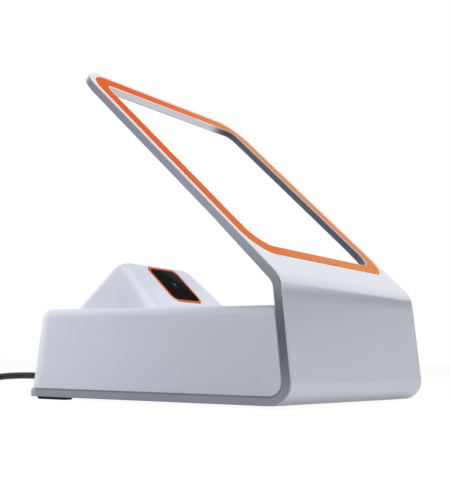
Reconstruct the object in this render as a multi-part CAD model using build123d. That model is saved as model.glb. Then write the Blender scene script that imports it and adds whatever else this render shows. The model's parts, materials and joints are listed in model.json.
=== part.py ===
from build123d import *
import math
import os

# Desktop barcode scanner with an open tilted frame.
# Millimetres. X runs across the object, Y from its front to its rear, Z up.
# The origin is on the table under the middle of the object, without its cable.

# Band: a strip bent into a C, as bottom plate, front wall and tilted frame
width = 150.0
foot_height = 1.35
band_thickness = 4.0
plate_length = 157.2
front_height = 56.7
front_lean = 6.9
tilt_angle = 42.9
tilt_length = 166.1
front_thickness = 4.9
bottom_bend_radius = 10.4
bottom_inner_radius = 6.5
top_bend_radius = 11.7
top_inner_radius = 8.0
bend_thickness = 5.0
thickening_length = 45.0
thickening_radius = 60.0
frame_corner_radius = 18.0
plate_corner_radius = 8.7
outer_chamfer = 0.35
inner_chamfer = 0.5
cover_thickness = 0.5
cover_underside_length = 12.5

# Opening of the frame and the ring round it, measured up the tilted face
opening_side_margin = 12.8
opening_low = 25.0
opening_high_margin = 12.4
opening_low_radius = 12.0
opening_high_radius = 5.0
opening_chamfer = 0.4
rim_width = 0.8
ring_side_width = 8.8
ring_high_width = 8.4
ring_low_width = 6.3
ring_low_radius = 15.5
ring_high_radius = 16.7
ring_depth = 1.6

# Base housing
base_top = 45.6
base_side_inset = 0.35
base_rear_inset = 0.2
base_rear_lean = 8.1
base_wall = 2.4
base_edge_radius = 4.8
base_corner_radius = 10.0
base_seam_chamfer = 0.4
boss_radius = 3.6
boss_side_margin = 12.5
boss_front_margin = 20.0
boss_rear_margin = 39.0

# Head housing: a soft pyramid with its front face along the frame's tilt
head_rear_margin = 11.0
head_depth = 41.3
head_front_half = 38.0
head_rear_half = 63.4
head_ridge_half = 28.2
head_wall = 2.4
head_ridge_radius = 6.0
head_front_edge_radius = 15.0
head_mouth_half = 20.0
head_mouth_margin = 7.0
head_mouth_radius = 4.0
head_boss_radius = 3.0
head_boss_front_half = 27.0
head_boss_rear_half = 36.0
head_boss_front_margin = 17.0
head_boss_rear_margin = 12.4

# Camera window, its ring and its seal
window_rise = 25.0
window_width = 27.9
window_height = 28.6
window_corner_radius = 5.0
window_ring_width = 1.5
window_clearance = 0.1
window_rim_chamfer = 0.5
rim_angle = 45.0
window_ledge = 1.6
glass_thickness = 1.1
gasket_thickness = 0.3
gasket_width = 1.4

# Scan engine behind the window
engine_width = 22.0
engine_height = 19.0
engine_depth = 9.0
engine_gap = 1.6
engine_corner_radius = 1.5
engine_ear_half = 16.5
engine_ear_thickness = 1.6
engine_ear_radius = 2.6
barrel_radius = 4.0
barrel_stand = 0.8
lens_radius = 2.6
lens_thickness = 1.2
lens_dome = 0.7
flood_radius = 1.8
flood_half = 7.6
aimer_radius = 1.2
aimer_rise = 6.6
lamp_length = 3.0
lamp_tip = 0.4
engine_board_thickness = 1.0
sensor_side = 6.4
sensor_thickness = 1.2
sensor_clearance = 0.3

# Main board and what it carries
main_board_side_inset = 1.0
main_board_depth = 58.0
main_board_rear_margin = 47.0
main_board_corner_radius = 2.0
board_thickness = 1.6
board_part_margin = 6.0
board_post_side_margin = 4.0
board_post_end_margin = 14.0
board_post_height = 4.2
board_post_radius = 2.4
shield_width = 26.0
shield_depth = 20.0
shield_height = 2.6
shield_corner_radius = 1.0
chip_side = 9.0
chip_height = 1.2
chip_pitch = 14.0
chip_count = 3
buzzer_radius = 6.0
buzzer_height = 5.4
buzzer_port_radius = 1.0
flex_width = 8.0
flex_thickness = 0.35
flex_bend_radius = 2.5
flex_grip = 5.0
flex_connector_width = 10.0
flex_connector_depth = 4.0
flex_connector_height = 2.4
flex_connector_margin = 7.0
connector_width = 9.0
connector_depth = 6.0
connector_height = 5.4

# Ballast plate on the floor of the base
ballast_side_gap = 2.9
ballast_depth = 90.0
ballast_thickness = 2.5
ballast_rear_margin = 32.0
ballast_corner_radius = 4.0

# Cable, strain relief and the clamp inside
cable_diameter = 3.6
cable_side_margin = 25.0
cable_rise = 11.2
relief_length = 14.0
relief_root_radius = 3.6
relief_tip_radius = 2.5
relief_flange_radius = 4.6
relief_flange_thickness = 1.4
relief_groove_count = 3
relief_groove_depth = 0.5
relief_groove_width = 0.9
relief_clearance = 0.15
clamp_width = 7.0
clamp_wall = 1.5
clamp_ear_length = 9.0
clamp_margin = 3.0
inner_rise_margin = 6.0
inner_rise_length = 12.0

# Free cable: its route by hand behind the object, and the coil of the rest
route_points = [
    (-50.0, 106.0, 11.2),
    (-50.0, 127.0, 9.6),
    (-50.0, 147.0, 2.5),
]
end_route_points = [
    (-52.4, 188.0, 16.6),
    (-60.0, 205.0, 10.5),
    (-76.0, 212.0, 4.0),
    (-88.0, 212.0, 4.0),
]
bend_share = 0.45
coil_centre_y = 168.0
coil_inner_radius = 16.7
coil_pitch = 4.8
coil_layer_height = 4.7
coil_half_turns = (5, 4, 4, 4)
coil_rest_height = 0.7
section_sides = 8
tie_width = 7.0
tie_thickness = 0.5
tie_clearance = 0.15
tie_corner_radius = 1.7

# Plug on the cable's end
plug_boot_length = 8.0
plug_boot_radius = 3.4
plug_boot_tip_radius = 2.4
plug_body_length = 27.0
plug_body_width = 15.4
plug_body_height = 8.0
plug_body_radius = 2.4
plug_body_edge = 0.8
plug_shell_length = 19.0
plug_shell_reach = 12.0
plug_shell_width = 12.0
plug_shell_height = 4.5
plug_shell_wall = 0.35
plug_shell_radius = 0.6
plug_hole_side = 2.2
plug_hole_half = 2.6
plug_hole_margin = 5.2
plug_tongue_thickness = 1.9
plug_tongue_clearance = 0.3

# Rubber feet
foot_length = 19.3
foot_width = 7.5
foot_pocket = 0.8
foot_taper = 0.7
foot_corner_radius = 2.0
foot_side_margin = 2.5
foot_rear_margin = 15.6
front_foot_side_margin = 46.0
front_foot_margin = 45.0

# Screws
screw_radius = 1.5
screw_head_radius = 2.9
screw_head_height = 1.7
screw_length = 9.0
screw_clearance = 0.25
small_screw_radius = 1.0
small_head_radius = 1.9
small_head_height = 1.1
small_screw_length = 4.6

# One overrun serves all cuts
overrun = 2.0


def heading(angle):
    """The unit vector in the side view that points along an angle, 0 to the rear and 90 up."""
    return Vector(0, math.cos(math.radians(angle)), math.sin(math.radians(angle)))


def beside(point, angle, distance):
    """A point moved to the right of a line that heads along an angle in the side view."""
    return point + heading(angle - 90) * distance


def crossing(p, p_angle, q, q_angle):
    """Where the line from p along p_angle crosses the line from q along q_angle, in the side view."""
    across = heading(q_angle - 90)
    along = heading(p_angle)
    return p + along * ((q - p).dot(across) / along.dot(across))


def outline(half_width, low, high, low_radius, high_radius):
    """A closed outline on a plane, with one radius for its low corners and one for its high ones."""
    corners = [(-half_width, low), (half_width, low), (half_width, high), (-half_width, high)]
    face = make_face(Polyline(*corners, close=True))
    face = fillet(face.vertices().group_by(Axis.Y)[0], low_radius)
    return fillet(face.vertices().group_by(Axis.Y)[-1], high_radius)


def slab(plane, face, low, high):
    """A flat face, drawn on a plane, made solid from one height over the plane to another."""
    return plane * Pos(0, 0, low) * extrude(face, amount=high - low)


def rod(plane, x, y, radius, low, high):
    """A cylinder that stands on a plane, from one height over the plane to another."""
    upright = (Align.CENTER, Align.CENTER, Align.MIN)
    return plane * Pos(x, y, low) * Cylinder(radius, high - low, align=upright)


def taper(plane, low_radius, high_radius, low, high):
    """A round taper along a plane's own axis, from one height over the plane to another."""
    upright = (Align.CENTER, Align.CENTER, Align.MIN)
    return plane * Pos(0, 0, low) * Cone(low_radius, high_radius, high - low, align=upright)


def block(plane, x, y, size_x, size_y, low, high, radius=0):
    """A block that stands on a plane, with its upright edges rounded where a radius is given."""
    face = RectangleRounded(size_x, size_y, radius) if radius else Rectangle(size_x, size_y)
    return slab(plane, Pos(x, y, 0) * face, low, high)


def nearest_edges(shape, points):
    """The edge of a shape that lies nearest to each point."""
    return [shape.edges().sort_by_distance(point)[0] for point in points]


def screw(plane, x, y, radius, head_radius, head_height, length):
    """A plain screw: its head stands on a plane, its shank points below it."""
    return rod(plane, x, y, head_radius, 0, head_height) + rod(plane, x, y, radius, -length, 0)


def large_screw(plane, x, y):
    """A screw of the size that holds the housings."""
    return screw(plane, x, y, screw_radius, screw_head_radius, screw_head_height, screw_length)


def small_screw(plane, x, y):
    """A screw of the size that holds boards, engine and clamp."""
    return screw(plane, x, y, small_screw_radius, small_head_radius, small_head_height, small_screw_length)


def group(solids):
    """Several separate solids kept together as one piece."""
    return Compound(children=list(solids))


# Side view of the band: its outer face from the plate's rear end to the frame's top end
opening_width = width - 2 * opening_side_margin
opening_high = tilt_length - opening_high_margin
lean_slope = math.tan(math.radians(front_lean))
nose = bottom_bend_radius * (lean_slope + 1 / math.cos(math.radians(front_lean)) - 1)
front_y = -(plate_length + nose) / 2
front_angle = 90 - front_lean
plate_angle = 180
plate_corner = Vector(0, front_y, foot_height)
plate_end = plate_corner - heading(plate_angle) * plate_length
frame_corner = plate_corner + Vector(0, front_height * lean_slope, front_height)
frame_end = frame_corner + heading(tilt_angle) * tilt_length
frame_plane = Plane(origin=frame_corner, x_dir=(1, 0, 0), z_dir=heading(tilt_angle + 90))
table = Plane.XY
floor_height = foot_height + band_thickness
floor = Plane(origin=(0, 0, floor_height))
underside = Plane(origin=(0, 0, foot_height), x_dir=(1, 0, 0), z_dir=(0, 0, -1))

# Side view of the base and the head
base_half = width / 2 - base_side_inset
rear_angle = 90 + base_rear_lean
rear_low = Vector(0, plate_end.Y - base_rear_inset, floor_height)
base_high = Vector(0, 0, base_top)
rear_high = crossing(rear_low, rear_angle, base_high, 0)
head_rear_foot = rear_high - Vector(0, head_rear_margin, 0)
head_front_foot = head_rear_foot - Vector(0, head_depth, 0)
head_plane = Plane(origin=head_front_foot, x_dir=(1, 0, 0), z_dir=heading(tilt_angle + 90))
window_plane = Plane(origin=head_front_foot + heading(tilt_angle) * window_rise, x_dir=(1, 0, 0),
                     z_dir=head_plane.z_dir)
ceiling = Plane(origin=(0, 0, base_top - base_wall), x_dir=(1, 0, 0), z_dir=(0, 0, -1))

# Places of the fasteners and the feet, by x and y on the table
boss_x = width / 2 - boss_side_margin
boss_places = [(side * boss_x, y) for side in (-1, 1)
               for y in (front_y + boss_front_margin, plate_end.Y - boss_rear_margin)]
head_boss_places = [(side * half, y) for side in (-1, 1)
                    for half, y in ((head_boss_front_half, head_front_foot.Y + head_boss_front_margin),
                                    (head_boss_rear_half, head_rear_foot.Y - head_boss_rear_margin))]
rear_foot_x = width / 2 - foot_side_margin - foot_width / 2
rear_foot_y = plate_end.Y - foot_rear_margin
front_foot_x = width / 2 - front_foot_side_margin
front_foot_y = front_y + front_foot_margin
foot_places = {
    "foot_front_left": (-front_foot_x, front_foot_y, foot_length, foot_width),
    "foot_front_right": (front_foot_x, front_foot_y, foot_length, foot_width),
    "foot_rear_left": (-rear_foot_x, rear_foot_y, foot_width, foot_length),
    "foot_rear_right": (rear_foot_x, rear_foot_y, foot_width, foot_length),
}

# Widths and heights inside the base
ballast_width = 2 * (boss_x - boss_radius - ballast_side_gap)
main_board_width = ballast_width - 2 * main_board_side_inset
ballast_y = plate_end.Y - ballast_rear_margin - ballast_depth / 2
board_y = plate_end.Y - main_board_rear_margin - main_board_depth / 2
board_rear = board_y + main_board_depth / 2
board_front = board_y - main_board_depth / 2
board_top = floor_height + ballast_thickness + board_post_height + board_thickness
board_plane = Plane(origin=(0, 0, board_top))
post_places = [(side * (main_board_width / 2 - board_post_side_margin),
                board_y + end * (main_board_depth / 2 - board_post_end_margin))
               for side in (-1, 1) for end in (-1, 1)]

# Cable exit: an axis along Y through the leaning rear wall
cable_side = cable_side_margin - width / 2
cable_radius = cable_diameter / 2
exit_height = Vector(0, 0, cable_rise)
wall_y = crossing(rear_low, rear_angle, exit_height, 0).Y
inner_wall_y = crossing(beside(rear_low, rear_angle, -base_wall), rear_angle, exit_height, 0).Y
exit_plane = Plane(origin=(cable_side, wall_y, cable_rise), x_dir=(1, 0, 0), z_dir=(0, 1, 0))
rear_plane = Plane(origin=(cable_side, wall_y, cable_rise), x_dir=(1, 0, 0), z_dir=heading(base_rear_lean))
clamp_y = inner_wall_y - relief_flange_thickness - clamp_margin - clamp_width / 2
clamp_screw_x = cable_side + cable_radius + clamp_wall + clamp_ear_length / 2


def outer_path(depth):
    """The band's outer face at a depth under it, as a bent line in the side view."""
    corners = [
        beside(plate_end, plate_angle, depth),
        crossing(beside(plate_corner, plate_angle, depth), plate_angle,
                 beside(plate_corner, front_angle, depth), front_angle),
        crossing(beside(frame_corner, front_angle, depth), front_angle,
                 beside(frame_corner, tilt_angle, depth), tilt_angle),
        beside(frame_end, tilt_angle, depth),
    ]
    return FilletPolyline(*corners, radius=[bottom_bend_radius - depth, top_bend_radius - depth])


def inner_path():
    """The band's inner face, where the band grows thicker towards its top bend."""
    plate_line = beside(plate_corner, plate_angle, band_thickness)
    front_line = beside(plate_corner, front_angle, front_thickness)
    steady = beside(frame_corner + heading(tilt_angle) * thickening_length, tilt_angle, band_thickness)
    thick = beside(frame_corner, tilt_angle, bend_thickness)
    rise = steady - thick
    thick_angle = math.degrees(math.atan2(rise.Z, rise.Y))
    corners = [
        beside(plate_end, plate_angle, band_thickness),
        crossing(plate_line, plate_angle, front_line, front_angle),
        crossing(front_line, front_angle, thick, thick_angle),
        steady,
        beside(frame_end, tilt_angle, band_thickness),
    ]
    return FilletPolyline(*corners, radius=[bottom_inner_radius, top_inner_radius, thickening_radius])


def between_paths(outer, inner):
    """A strip of the band's width between two bent lines of the side view."""
    ends = [Line(outer @ 0, inner @ 0), Line(outer @ 1, inner @ 1)]
    profile = make_face([*outer.edges(), *inner.edges(), *[edge for line in ends for edge in line.edges()]])
    return extrude(profile, amount=width / 2, dir=(1, 0, 0), both=True)


def ring_outline(inner):
    """The outline of the ring's inner or outer edge on the tilted face."""
    half = opening_width / 2 + rim_width
    low = opening_low - rim_width
    high = opening_high + rim_width
    if inner:
        return outline(half, low, high, opening_low_radius + rim_width, opening_high_radius + rim_width)
    return outline(half + ring_side_width, low - ring_low_width, high + ring_high_width,
                   ring_low_radius, ring_high_radius)


def make_band():
    """The whole bent band with its rounded corners, chamfered edges and opening."""
    band = between_paths(outer_path(0), inner_path())
    middle = band_thickness / 2
    corners = [frame_plane.from_local_coords((side * width / 2, tilt_length, -middle)) for side in (-1, 1)]
    band = fillet(nearest_edges(band, corners), frame_corner_radius)
    corners = [Vector(side * width / 2, plate_end.Y, foot_height + middle) for side in (-1, 1)]
    band = fillet(nearest_edges(band, corners), plate_corner_radius)
    outer_end = frame_plane.from_local_coords((0, tilt_length, 0))
    band = chamfer(nearest_edges(band, [outer_end]), outer_chamfer)
    inner_end = frame_plane.from_local_coords((0, tilt_length, -band_thickness))
    band = chamfer(nearest_edges(band, [inner_end]), inner_chamfer)
    hole = outline(opening_width / 2, opening_low, opening_high, opening_low_radius, opening_high_radius)
    band -= slab(frame_plane, hole, -bend_thickness - overrun, overrun)
    rims = [frame_plane.from_local_coords((0, opening_high, 0)),
            frame_plane.from_local_coords((0, opening_high, -band_thickness))]
    return chamfer(nearest_edges(band, rims), opening_chamfer)


def plate_recesses():
    """What is cut into the bottom plate: foot pockets, screw seats and the clamp screw's hole."""
    seat = screw_head_height + screw_clearance
    cuts = [block(underside, x, -y, size_x, size_y, -foot_pocket, overrun, foot_corner_radius)
            for x, y, size_x, size_y in foot_places.values()]
    head_hole = screw_head_radius + screw_clearance
    cuts += [rod(underside, x, -y, head_hole, -seat, overrun) for x, y in boss_places]
    cuts += [rod(underside, x, -y, screw_radius + screw_clearance, -band_thickness - overrun, overrun)
             for x, y in boss_places]
    depth = clamp_wall - small_screw_length
    cuts.append(rod(floor, clamp_screw_x, clamp_y, small_screw_radius, depth, overrun))
    return cuts


def split_band():
    """The band's grey core, its thin white cover and the orange ring."""
    band = make_band()
    skin = between_paths(outer_path(0), outer_path(cover_thickness))
    skin_end = plate_corner.Y + cover_underside_length
    beyond = plate_end.Y - skin_end + overrun
    skin -= Pos(0, skin_end + beyond / 2, foot_height) * Box(width + overrun, beyond, 2 * band_thickness)
    skin -= slab(frame_plane, ring_outline(False), -bend_thickness, overrun)
    ring = slab(frame_plane, ring_outline(False), -ring_depth, 0) - slab(
        frame_plane, ring_outline(True), -ring_depth - overrun, overrun)
    cover = band & skin
    core = band - skin - ring
    for cut in plate_recesses():
        core -= cut
    return core, cover, ring


def base_block(wall):
    """The base's outer form, or with a wall the form of its cavity, down to the bottom plate."""
    front = beside(plate_corner, front_angle, front_thickness + wall)
    rear = beside(rear_low, rear_angle, -wall)
    top = Vector(0, 0, base_top - wall)
    low = Vector(0, 0, floor_height)
    corners = [crossing(front, front_angle, low, 0), crossing(front, front_angle, top, 0),
               crossing(rear, rear_angle, top, 0), crossing(rear, rear_angle, low, 0)]
    profile = make_face(Polyline(*corners, close=True))
    half = base_half - wall
    solid = extrude(profile, amount=half, dir=(1, 0, 0), both=True)
    solid = fillet(nearest_edges(solid, [corners[0]]), bottom_inner_radius)
    rear_edges = [(corners[2] + corners[3]) / 2 + Vector(side * half, 0, 0) for side in (-1, 1)]
    solid = fillet(nearest_edges(solid, rear_edges), base_corner_radius - wall)
    return fillet(nearest_edges(solid, [corners[2]]), base_edge_radius - wall)


def make_base():
    """The base housing: open below, with screw bosses and a mouth under the head."""
    outer = base_block(0)
    seam = [Vector(0, rear_low.Y, floor_height)]
    outer = chamfer(nearest_edges(outer, seam), base_seam_chamfer)
    housing = outer - base_block(base_wall)
    for x, y in boss_places:
        housing += rod(floor, x, y, boss_radius, 0, base_top - base_wall - floor_height)
        housing -= rod(floor, x, y, screw_radius, 0, screw_length)
    mouth_depth = head_depth - 2 * head_mouth_margin
    mouth_y = head_front_foot.Y + head_depth / 2
    housing -= block(ceiling, 0, -mouth_y, 2 * head_mouth_half, mouth_depth,
                     -base_wall - overrun, overrun, head_mouth_radius)
    for x, y in head_boss_places:
        housing -= rod(ceiling, x, -y, screw_radius + screw_clearance, -base_wall - overrun, overrun)
    reach = wall_y - inner_wall_y + overrun
    return housing - rod(exit_plane, 0, 0, relief_root_radius + relief_clearance, -reach, overrun)


def head_form(wall):
    """The head's outer form, or with a wall the form of its cavity: a pyramid with a short ridge."""
    ridge = crossing(head_front_foot, tilt_angle, head_rear_foot, rear_angle)
    front_end = head_front_foot + Vector(head_front_half, 0, 0)
    side_normal = (head_rear_foot + Vector(head_rear_half, 0, 0) - front_end).cross(
        ridge + Vector(head_ridge_half, 0, 0) - front_end).normalized()
    front = crossing(beside(head_front_foot, tilt_angle, wall), tilt_angle, base_high, 0)
    rear = crossing(beside(head_rear_foot, rear_angle, -wall), rear_angle, base_high, 0)
    top = crossing(front, tilt_angle, rear, rear_angle)
    right = []
    for point in (front, rear, top):
        reach = (front_end - point).dot(side_normal) - wall
        right.append(point + Vector(reach / side_normal.X, 0, 0))
    left = [Vector(-point.X, point.Y, point.Z) for point in right]
    rings = [
        [left[0], right[0], right[1], left[1]],
        [left[0], left[2], right[2], right[0]],
        [left[1], right[1], right[2], left[2]],
        [right[0], right[2], right[1]],
        [left[0], left[1], left[2]],
    ]
    solid = Solid(Shell([make_face(Polyline(*ring, close=True)) for ring in rings]))
    front_edges = [(side[0] + side[2]) / 2 for side in (left, right)]
    solid = fillet(nearest_edges(solid, front_edges), head_front_edge_radius - wall)
    return fillet(nearest_edges(solid, [top]), head_ridge_radius - wall)


def window_outline(inset):
    """The window's rounded square, made smaller all round by an inset."""
    return RectangleRounded(window_width - 2 * inset, window_height - 2 * inset, window_corner_radius - inset)


def make_head():
    """The head housing: open below, with the window's recess, engine bosses and screw bosses."""
    outer = head_form(0)
    housing = outer - head_form(head_wall)
    for x, y in head_boss_places:
        housing += rod(Plane(origin=base_high), x, y, head_boss_radius, 0, base_top) & outer
    boss_end = -head_wall - engine_gap
    for side in (-1, 1):
        housing += rod(window_plane, side * engine_ear_half, 0, engine_ear_radius, boss_end, -head_wall)
    for x, y in head_boss_places:
        housing -= rod(Plane(origin=base_high), x, y, screw_radius, 0, screw_length - base_wall)
    for side in (-1, 1):
        hole_end = boss_end + small_screw_length - engine_ear_thickness
        housing -= rod(window_plane, side * engine_ear_half, 0, small_screw_radius, boss_end, hole_end)
    seat = glass_thickness + gasket_thickness
    light = window_outline(window_ring_width + window_ledge)
    housing -= slab(window_plane, window_outline(-window_clearance), -seat, overrun)
    housing -= slab(window_plane, light, -head_wall - overrun, overrun)
    rim = extrude(window_outline(-window_clearance), amount=window_rim_chamfer + overrun, taper=-rim_angle)
    return housing - window_plane * Pos(0, 0, -window_rim_chamfer) * rim


def make_window():
    """The orange ring, the glass within it and the seal under the glass."""
    seat = glass_thickness + gasket_thickness
    inner = window_ring_width
    ring = slab(window_plane, window_outline(0) - window_outline(inner), -seat, 0)
    glass = slab(window_plane, window_outline(inner + window_clearance), -glass_thickness, 0)
    seal_face = window_outline(inner + window_clearance) - window_outline(inner + gasket_width)
    seal = slab(window_plane, seal_face, -seat, -glass_thickness)
    return {"window_ring": ring, "scan_window": glass, "window_gasket": seal}


def lamp(x, y, radius, front):
    """A small lamp with a tapered tip, let into the engine's front."""
    body = rod(window_plane, x, y, radius, front - lamp_length, front)
    tip = [edge for edge in body.edges() if edge.geom_type == GeomType.CIRCLE]
    tip.sort(key=lambda edge: window_plane.to_local_coords(edge.center()).Z)
    return chamfer(tip[-1], lamp_tip)


def make_engine():
    """The scan engine: chassis with ears, barrel, lens, lamps, sensor and its own board."""
    front = -head_wall - engine_gap
    back = front - engine_depth
    chassis = block(window_plane, 0, 0, engine_width, engine_height, back, front, engine_corner_radius)
    ear_back = front - engine_ear_thickness
    for side in (-1, 1):
        chassis += block(window_plane, side * engine_ear_half / 2, 0, engine_ear_half, 2 * engine_ear_radius,
                         ear_back, front)
        chassis += rod(window_plane, side * engine_ear_half, 0, engine_ear_radius, ear_back, front)
    for side in (-1, 1):
        chassis -= rod(window_plane, side * engine_ear_half, 0, small_screw_radius, ear_back, front)
        chassis -= rod(window_plane, side * flood_half, 0, flood_radius, front - lamp_length, front)
    chassis -= rod(window_plane, 0, aimer_rise, aimer_radius, front - lamp_length, front)
    chassis -= rod(window_plane, 0, 0, barrel_radius, back, front)
    pocket = sensor_side + 2 * sensor_clearance
    chassis -= block(window_plane, 0, 0, pocket, pocket, back, back + sensor_thickness + sensor_clearance)
    barrel_front = front + barrel_stand
    barrel_back = back + sensor_thickness + sensor_clearance
    barrel = rod(window_plane, 0, 0, barrel_radius, barrel_back, barrel_front)
    barrel -= rod(window_plane, 0, 0, lens_radius, barrel_back, barrel_front)
    lens_low = barrel_front - lens_thickness - lens_dome
    dome_radius = (lens_radius ** 2 + lens_dome ** 2) / (2 * lens_dome)
    dome = window_plane * Pos(0, 0, barrel_front - dome_radius) * Sphere(dome_radius)
    lens = rod(window_plane, 0, 0, lens_radius, lens_low, barrel_front) & dome
    floods = group(lamp(side * flood_half, 0, flood_radius, front) for side in (-1, 1))
    board = block(window_plane, 0, 0, engine_width, engine_height, back - engine_board_thickness, back,
                  engine_corner_radius)
    sensor = block(window_plane, 0, 0, sensor_side, sensor_side, back, back + sensor_thickness)
    ear_plane = Plane(origin=window_plane.from_local_coords((0, 0, ear_back)), x_dir=(1, 0, 0),
                      z_dir=-window_plane.z_dir)
    return {
        "engine_chassis": chassis,
        "lens_barrel": barrel,
        "lens_glass": lens,
        "flood_leds": floods,
        "aimer_led": lamp(0, aimer_rise, aimer_radius, front),
        "image_sensor": sensor,
        "engine_board": board,
        "engine_screws": group(small_screw(ear_plane, side * engine_ear_half, 0) for side in (-1, 1)),
    }


def make_flex():
    """The flat lead from the engine's board through the mouth to its connector, and the connector."""
    back = -head_wall - engine_gap - engine_depth - engine_board_thickness - flex_thickness / 2
    start = window_plane.from_local_coords((0, flex_grip - engine_height / 2, back))
    low = board_top + flex_connector_height / 2
    corner = crossing(start, tilt_angle, Vector(0, board_rear, 0), 90)
    socket_rear = board_rear - flex_connector_margin
    path = FilletPolyline(start, corner, (0, board_rear, low), (0, socket_rear, low),
                          radius=[flex_bend_radius, flex_bend_radius])
    section = Plane(origin=start, x_dir=(1, 0, 0), z_dir=path % 0) * Rectangle(flex_width, flex_thickness)
    socket = block(board_plane, 0, socket_rear - flex_connector_depth / 2, flex_connector_width,
                   flex_connector_depth, 0, flex_connector_height)
    return {"flex_cable": sweep(section, path=path), "flex_connector": socket}


def make_boards():
    """The ballast plate, the main board on its posts, and what is soldered to it."""
    ballast = block(floor, 0, ballast_y, ballast_width, ballast_depth, 0, ballast_thickness,
                    ballast_corner_radius)
    post_low = -board_thickness - board_post_height
    board = block(board_plane, 0, board_y, main_board_width, main_board_depth, -board_thickness, 0,
                  main_board_corner_radius)
    posts = []
    for x, y in post_places:
        board -= rod(board_plane, x, y, small_screw_radius, -board_thickness, 0)
        post = rod(board_plane, x, y, board_post_radius, post_low, -board_thickness)
        posts.append(post - rod(board_plane, x, y, small_screw_radius, -small_screw_length, -board_thickness))
    shield_y = board_front + board_part_margin + shield_depth / 2
    shield = block(board_plane, 0, shield_y, shield_width, shield_depth, 0, shield_height,
                   shield_corner_radius)
    chip_x = shield_width / 2 + board_part_margin + chip_side / 2
    chip_y = board_front + board_part_margin + chip_side / 2
    chips = [block(board_plane, chip_x, chip_y + index * chip_pitch, chip_side, chip_side, 0, chip_height)
             for index in range(chip_count)]
    buzzer_x = -shield_width / 2 - board_part_margin - buzzer_radius
    buzzer_y = board_front + board_part_margin + buzzer_radius
    buzzer = rod(board_plane, buzzer_x, buzzer_y, buzzer_radius, 0, buzzer_height)
    buzzer -= rod(board_plane, buzzer_x, buzzer_y, buzzer_port_radius, buzzer_height / 2, buzzer_height)
    socket_y = board_rear - connector_depth / 2
    socket = block(board_plane, cable_side, socket_y, connector_width, connector_depth, 0, connector_height)
    return {
        "ballast_plate": ballast,
        "main_board": board,
        "board_posts": group(posts),
        "board_screws": group(small_screw(board_plane, x, y) for x, y in post_places),
        "processor_shield": shield,
        "board_chips": group(chips),
        "buzzer": buzzer,
        "cable_connector": socket,
    }


def bend_radii(points):
    """For each inner point of a cable's route, the largest arc that its two runs leave room for."""
    points = [Vector(*point) for point in points]
    radii = []
    for before, here, after in zip(points, points[1:], points[2:]):
        turn = math.radians((here - before).get_angle(after - here))
        shorter = min((here - before).length, (after - here).length)
        radii.append(bend_share * shorter / math.tan(turn / 2))
    return radii


def lead(name, points, held_length):
    """A stretch of cable along straight runs joined by tangent arcs, after a length held in a sleeve."""
    radii = bend_radii(points)
    edges = FilletPolyline(*points, radius=radii).edges()
    if held_length:
        start = Vector(*points[0])
        way = (Vector(*points[1]) - start).normalized()
        edges = [Line(start - way * held_length, start).edge(), *edges]
    path = Wire(edges)
    solid = sweep(Plane(origin=path @ 0, z_dir=path % 0) * Circle(cable_radius), path=path)
    share = solid.volume / (math.pi * cable_radius ** 2 * path.length)
    print(name, "length", round(path.length, 1), "radii", [round(radius, 1) for radius in radii],
          "volume over section times length", round(share, 4))
    return solid


def coil_path():
    """The coil's line: half turns that spiral in and out, layer on layer, with a straight end each way."""
    z = coil_rest_height + cable_radius
    radius = coil_inner_radius + coil_half_turns[0] * coil_pitch / 2
    centre_x = cable_side - radius
    side = 1
    point = Vector(cable_side, coil_centre_y, z)
    edges = [Line(point - Vector(0, cable_diameter, 0), point)]
    inward = True
    for layer, count in enumerate(coil_half_turns):
        steps = [(-coil_pitch / 2 if inward else coil_pitch / 2, 0)] * count
        if layer < len(coil_half_turns) - 1:
            steps.append((0, coil_layer_height))
        for growth, climb in steps:
            radius += growth
            z += climb
            end = Vector(centre_x - side * radius, coil_centre_y, z)
            start_way = Vector(0, side, 0)
            middle = (point + end) / 2 + start_way * ((end - point).length / 2)
            edges.append(TangentArc(point, middle, tangent=start_way))
            edges.append(TangentArc(middle, end, tangent=edges[-1] % 1))
            point = end
            side = -side
        inward = not inward
    edges.append(Line(point, point + Vector(0, cable_diameter, 0)))
    return centre_x, edges


def least_gap(edges):
    """The least free space between two turns of the coil, measured on points along its line."""
    points = []
    travelled = 0
    for edge in edges:
        count = max(2, round(edge.length / cable_radius))
        for index in range(count):
            points.append((travelled + edge.length * index / count, edge @ (index / count)))
        travelled += edge.length
    apart = math.pi * coil_inner_radius
    gap = min((p - q).length for i, (s, p) in enumerate(points) for t, q in points[i + 1:] if t - s > apart)
    return travelled, gap - cable_diameter


def make_coil():
    """The put-away coil as one unbroken tube of many flat sides, and the tie round it."""
    centre_x, edges = coil_path()
    length, gap = least_gap(edges)
    print("coil length", round(length, 1), "least gap to itself", round(gap, 2))
    path = Wire([edge for line in edges for edge in line.edges()])
    start = Plane(origin=path @ 0, z_dir=path % 0)
    solid = sweep(start * RegularPolygon(cable_radius, section_sides), path=path)
    share = solid.volume / (math.pi * cable_radius ** 2 * length)
    print("coil volume over section times length", round(share, 4))
    outer_radius = coil_inner_radius + (coil_half_turns[0] - 1) * coil_pitch / 2
    bow = coil_inner_radius - cable_radius - math.sqrt(
        (coil_inner_radius - cable_radius) ** 2 - (tie_width / 2) ** 2)
    near = centre_x - coil_inner_radius + cable_radius + bow + tie_clearance
    far = centre_x - outer_radius - cable_radius - tie_clearance
    low = coil_rest_height - tie_clearance
    high = coil_rest_height + (len(coil_half_turns) - 1) * coil_layer_height + cable_diameter + tie_clearance
    tie_middle = ((near + far) / 2, coil_centre_y, (low + high) / 2)
    tie_plane = Plane(origin=tie_middle, x_dir=(1, 0, 0), z_dir=(0, 1, 0))
    wide = 2 * tie_thickness
    band = RectangleRounded(near - far + wide, high - low + wide, tie_corner_radius + tie_thickness)
    band -= RectangleRounded(near - far, high - low, tie_corner_radius)
    tie = slab(tie_plane, band, -tie_width / 2, tie_width / 2)
    return edges, solid, tie


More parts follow.
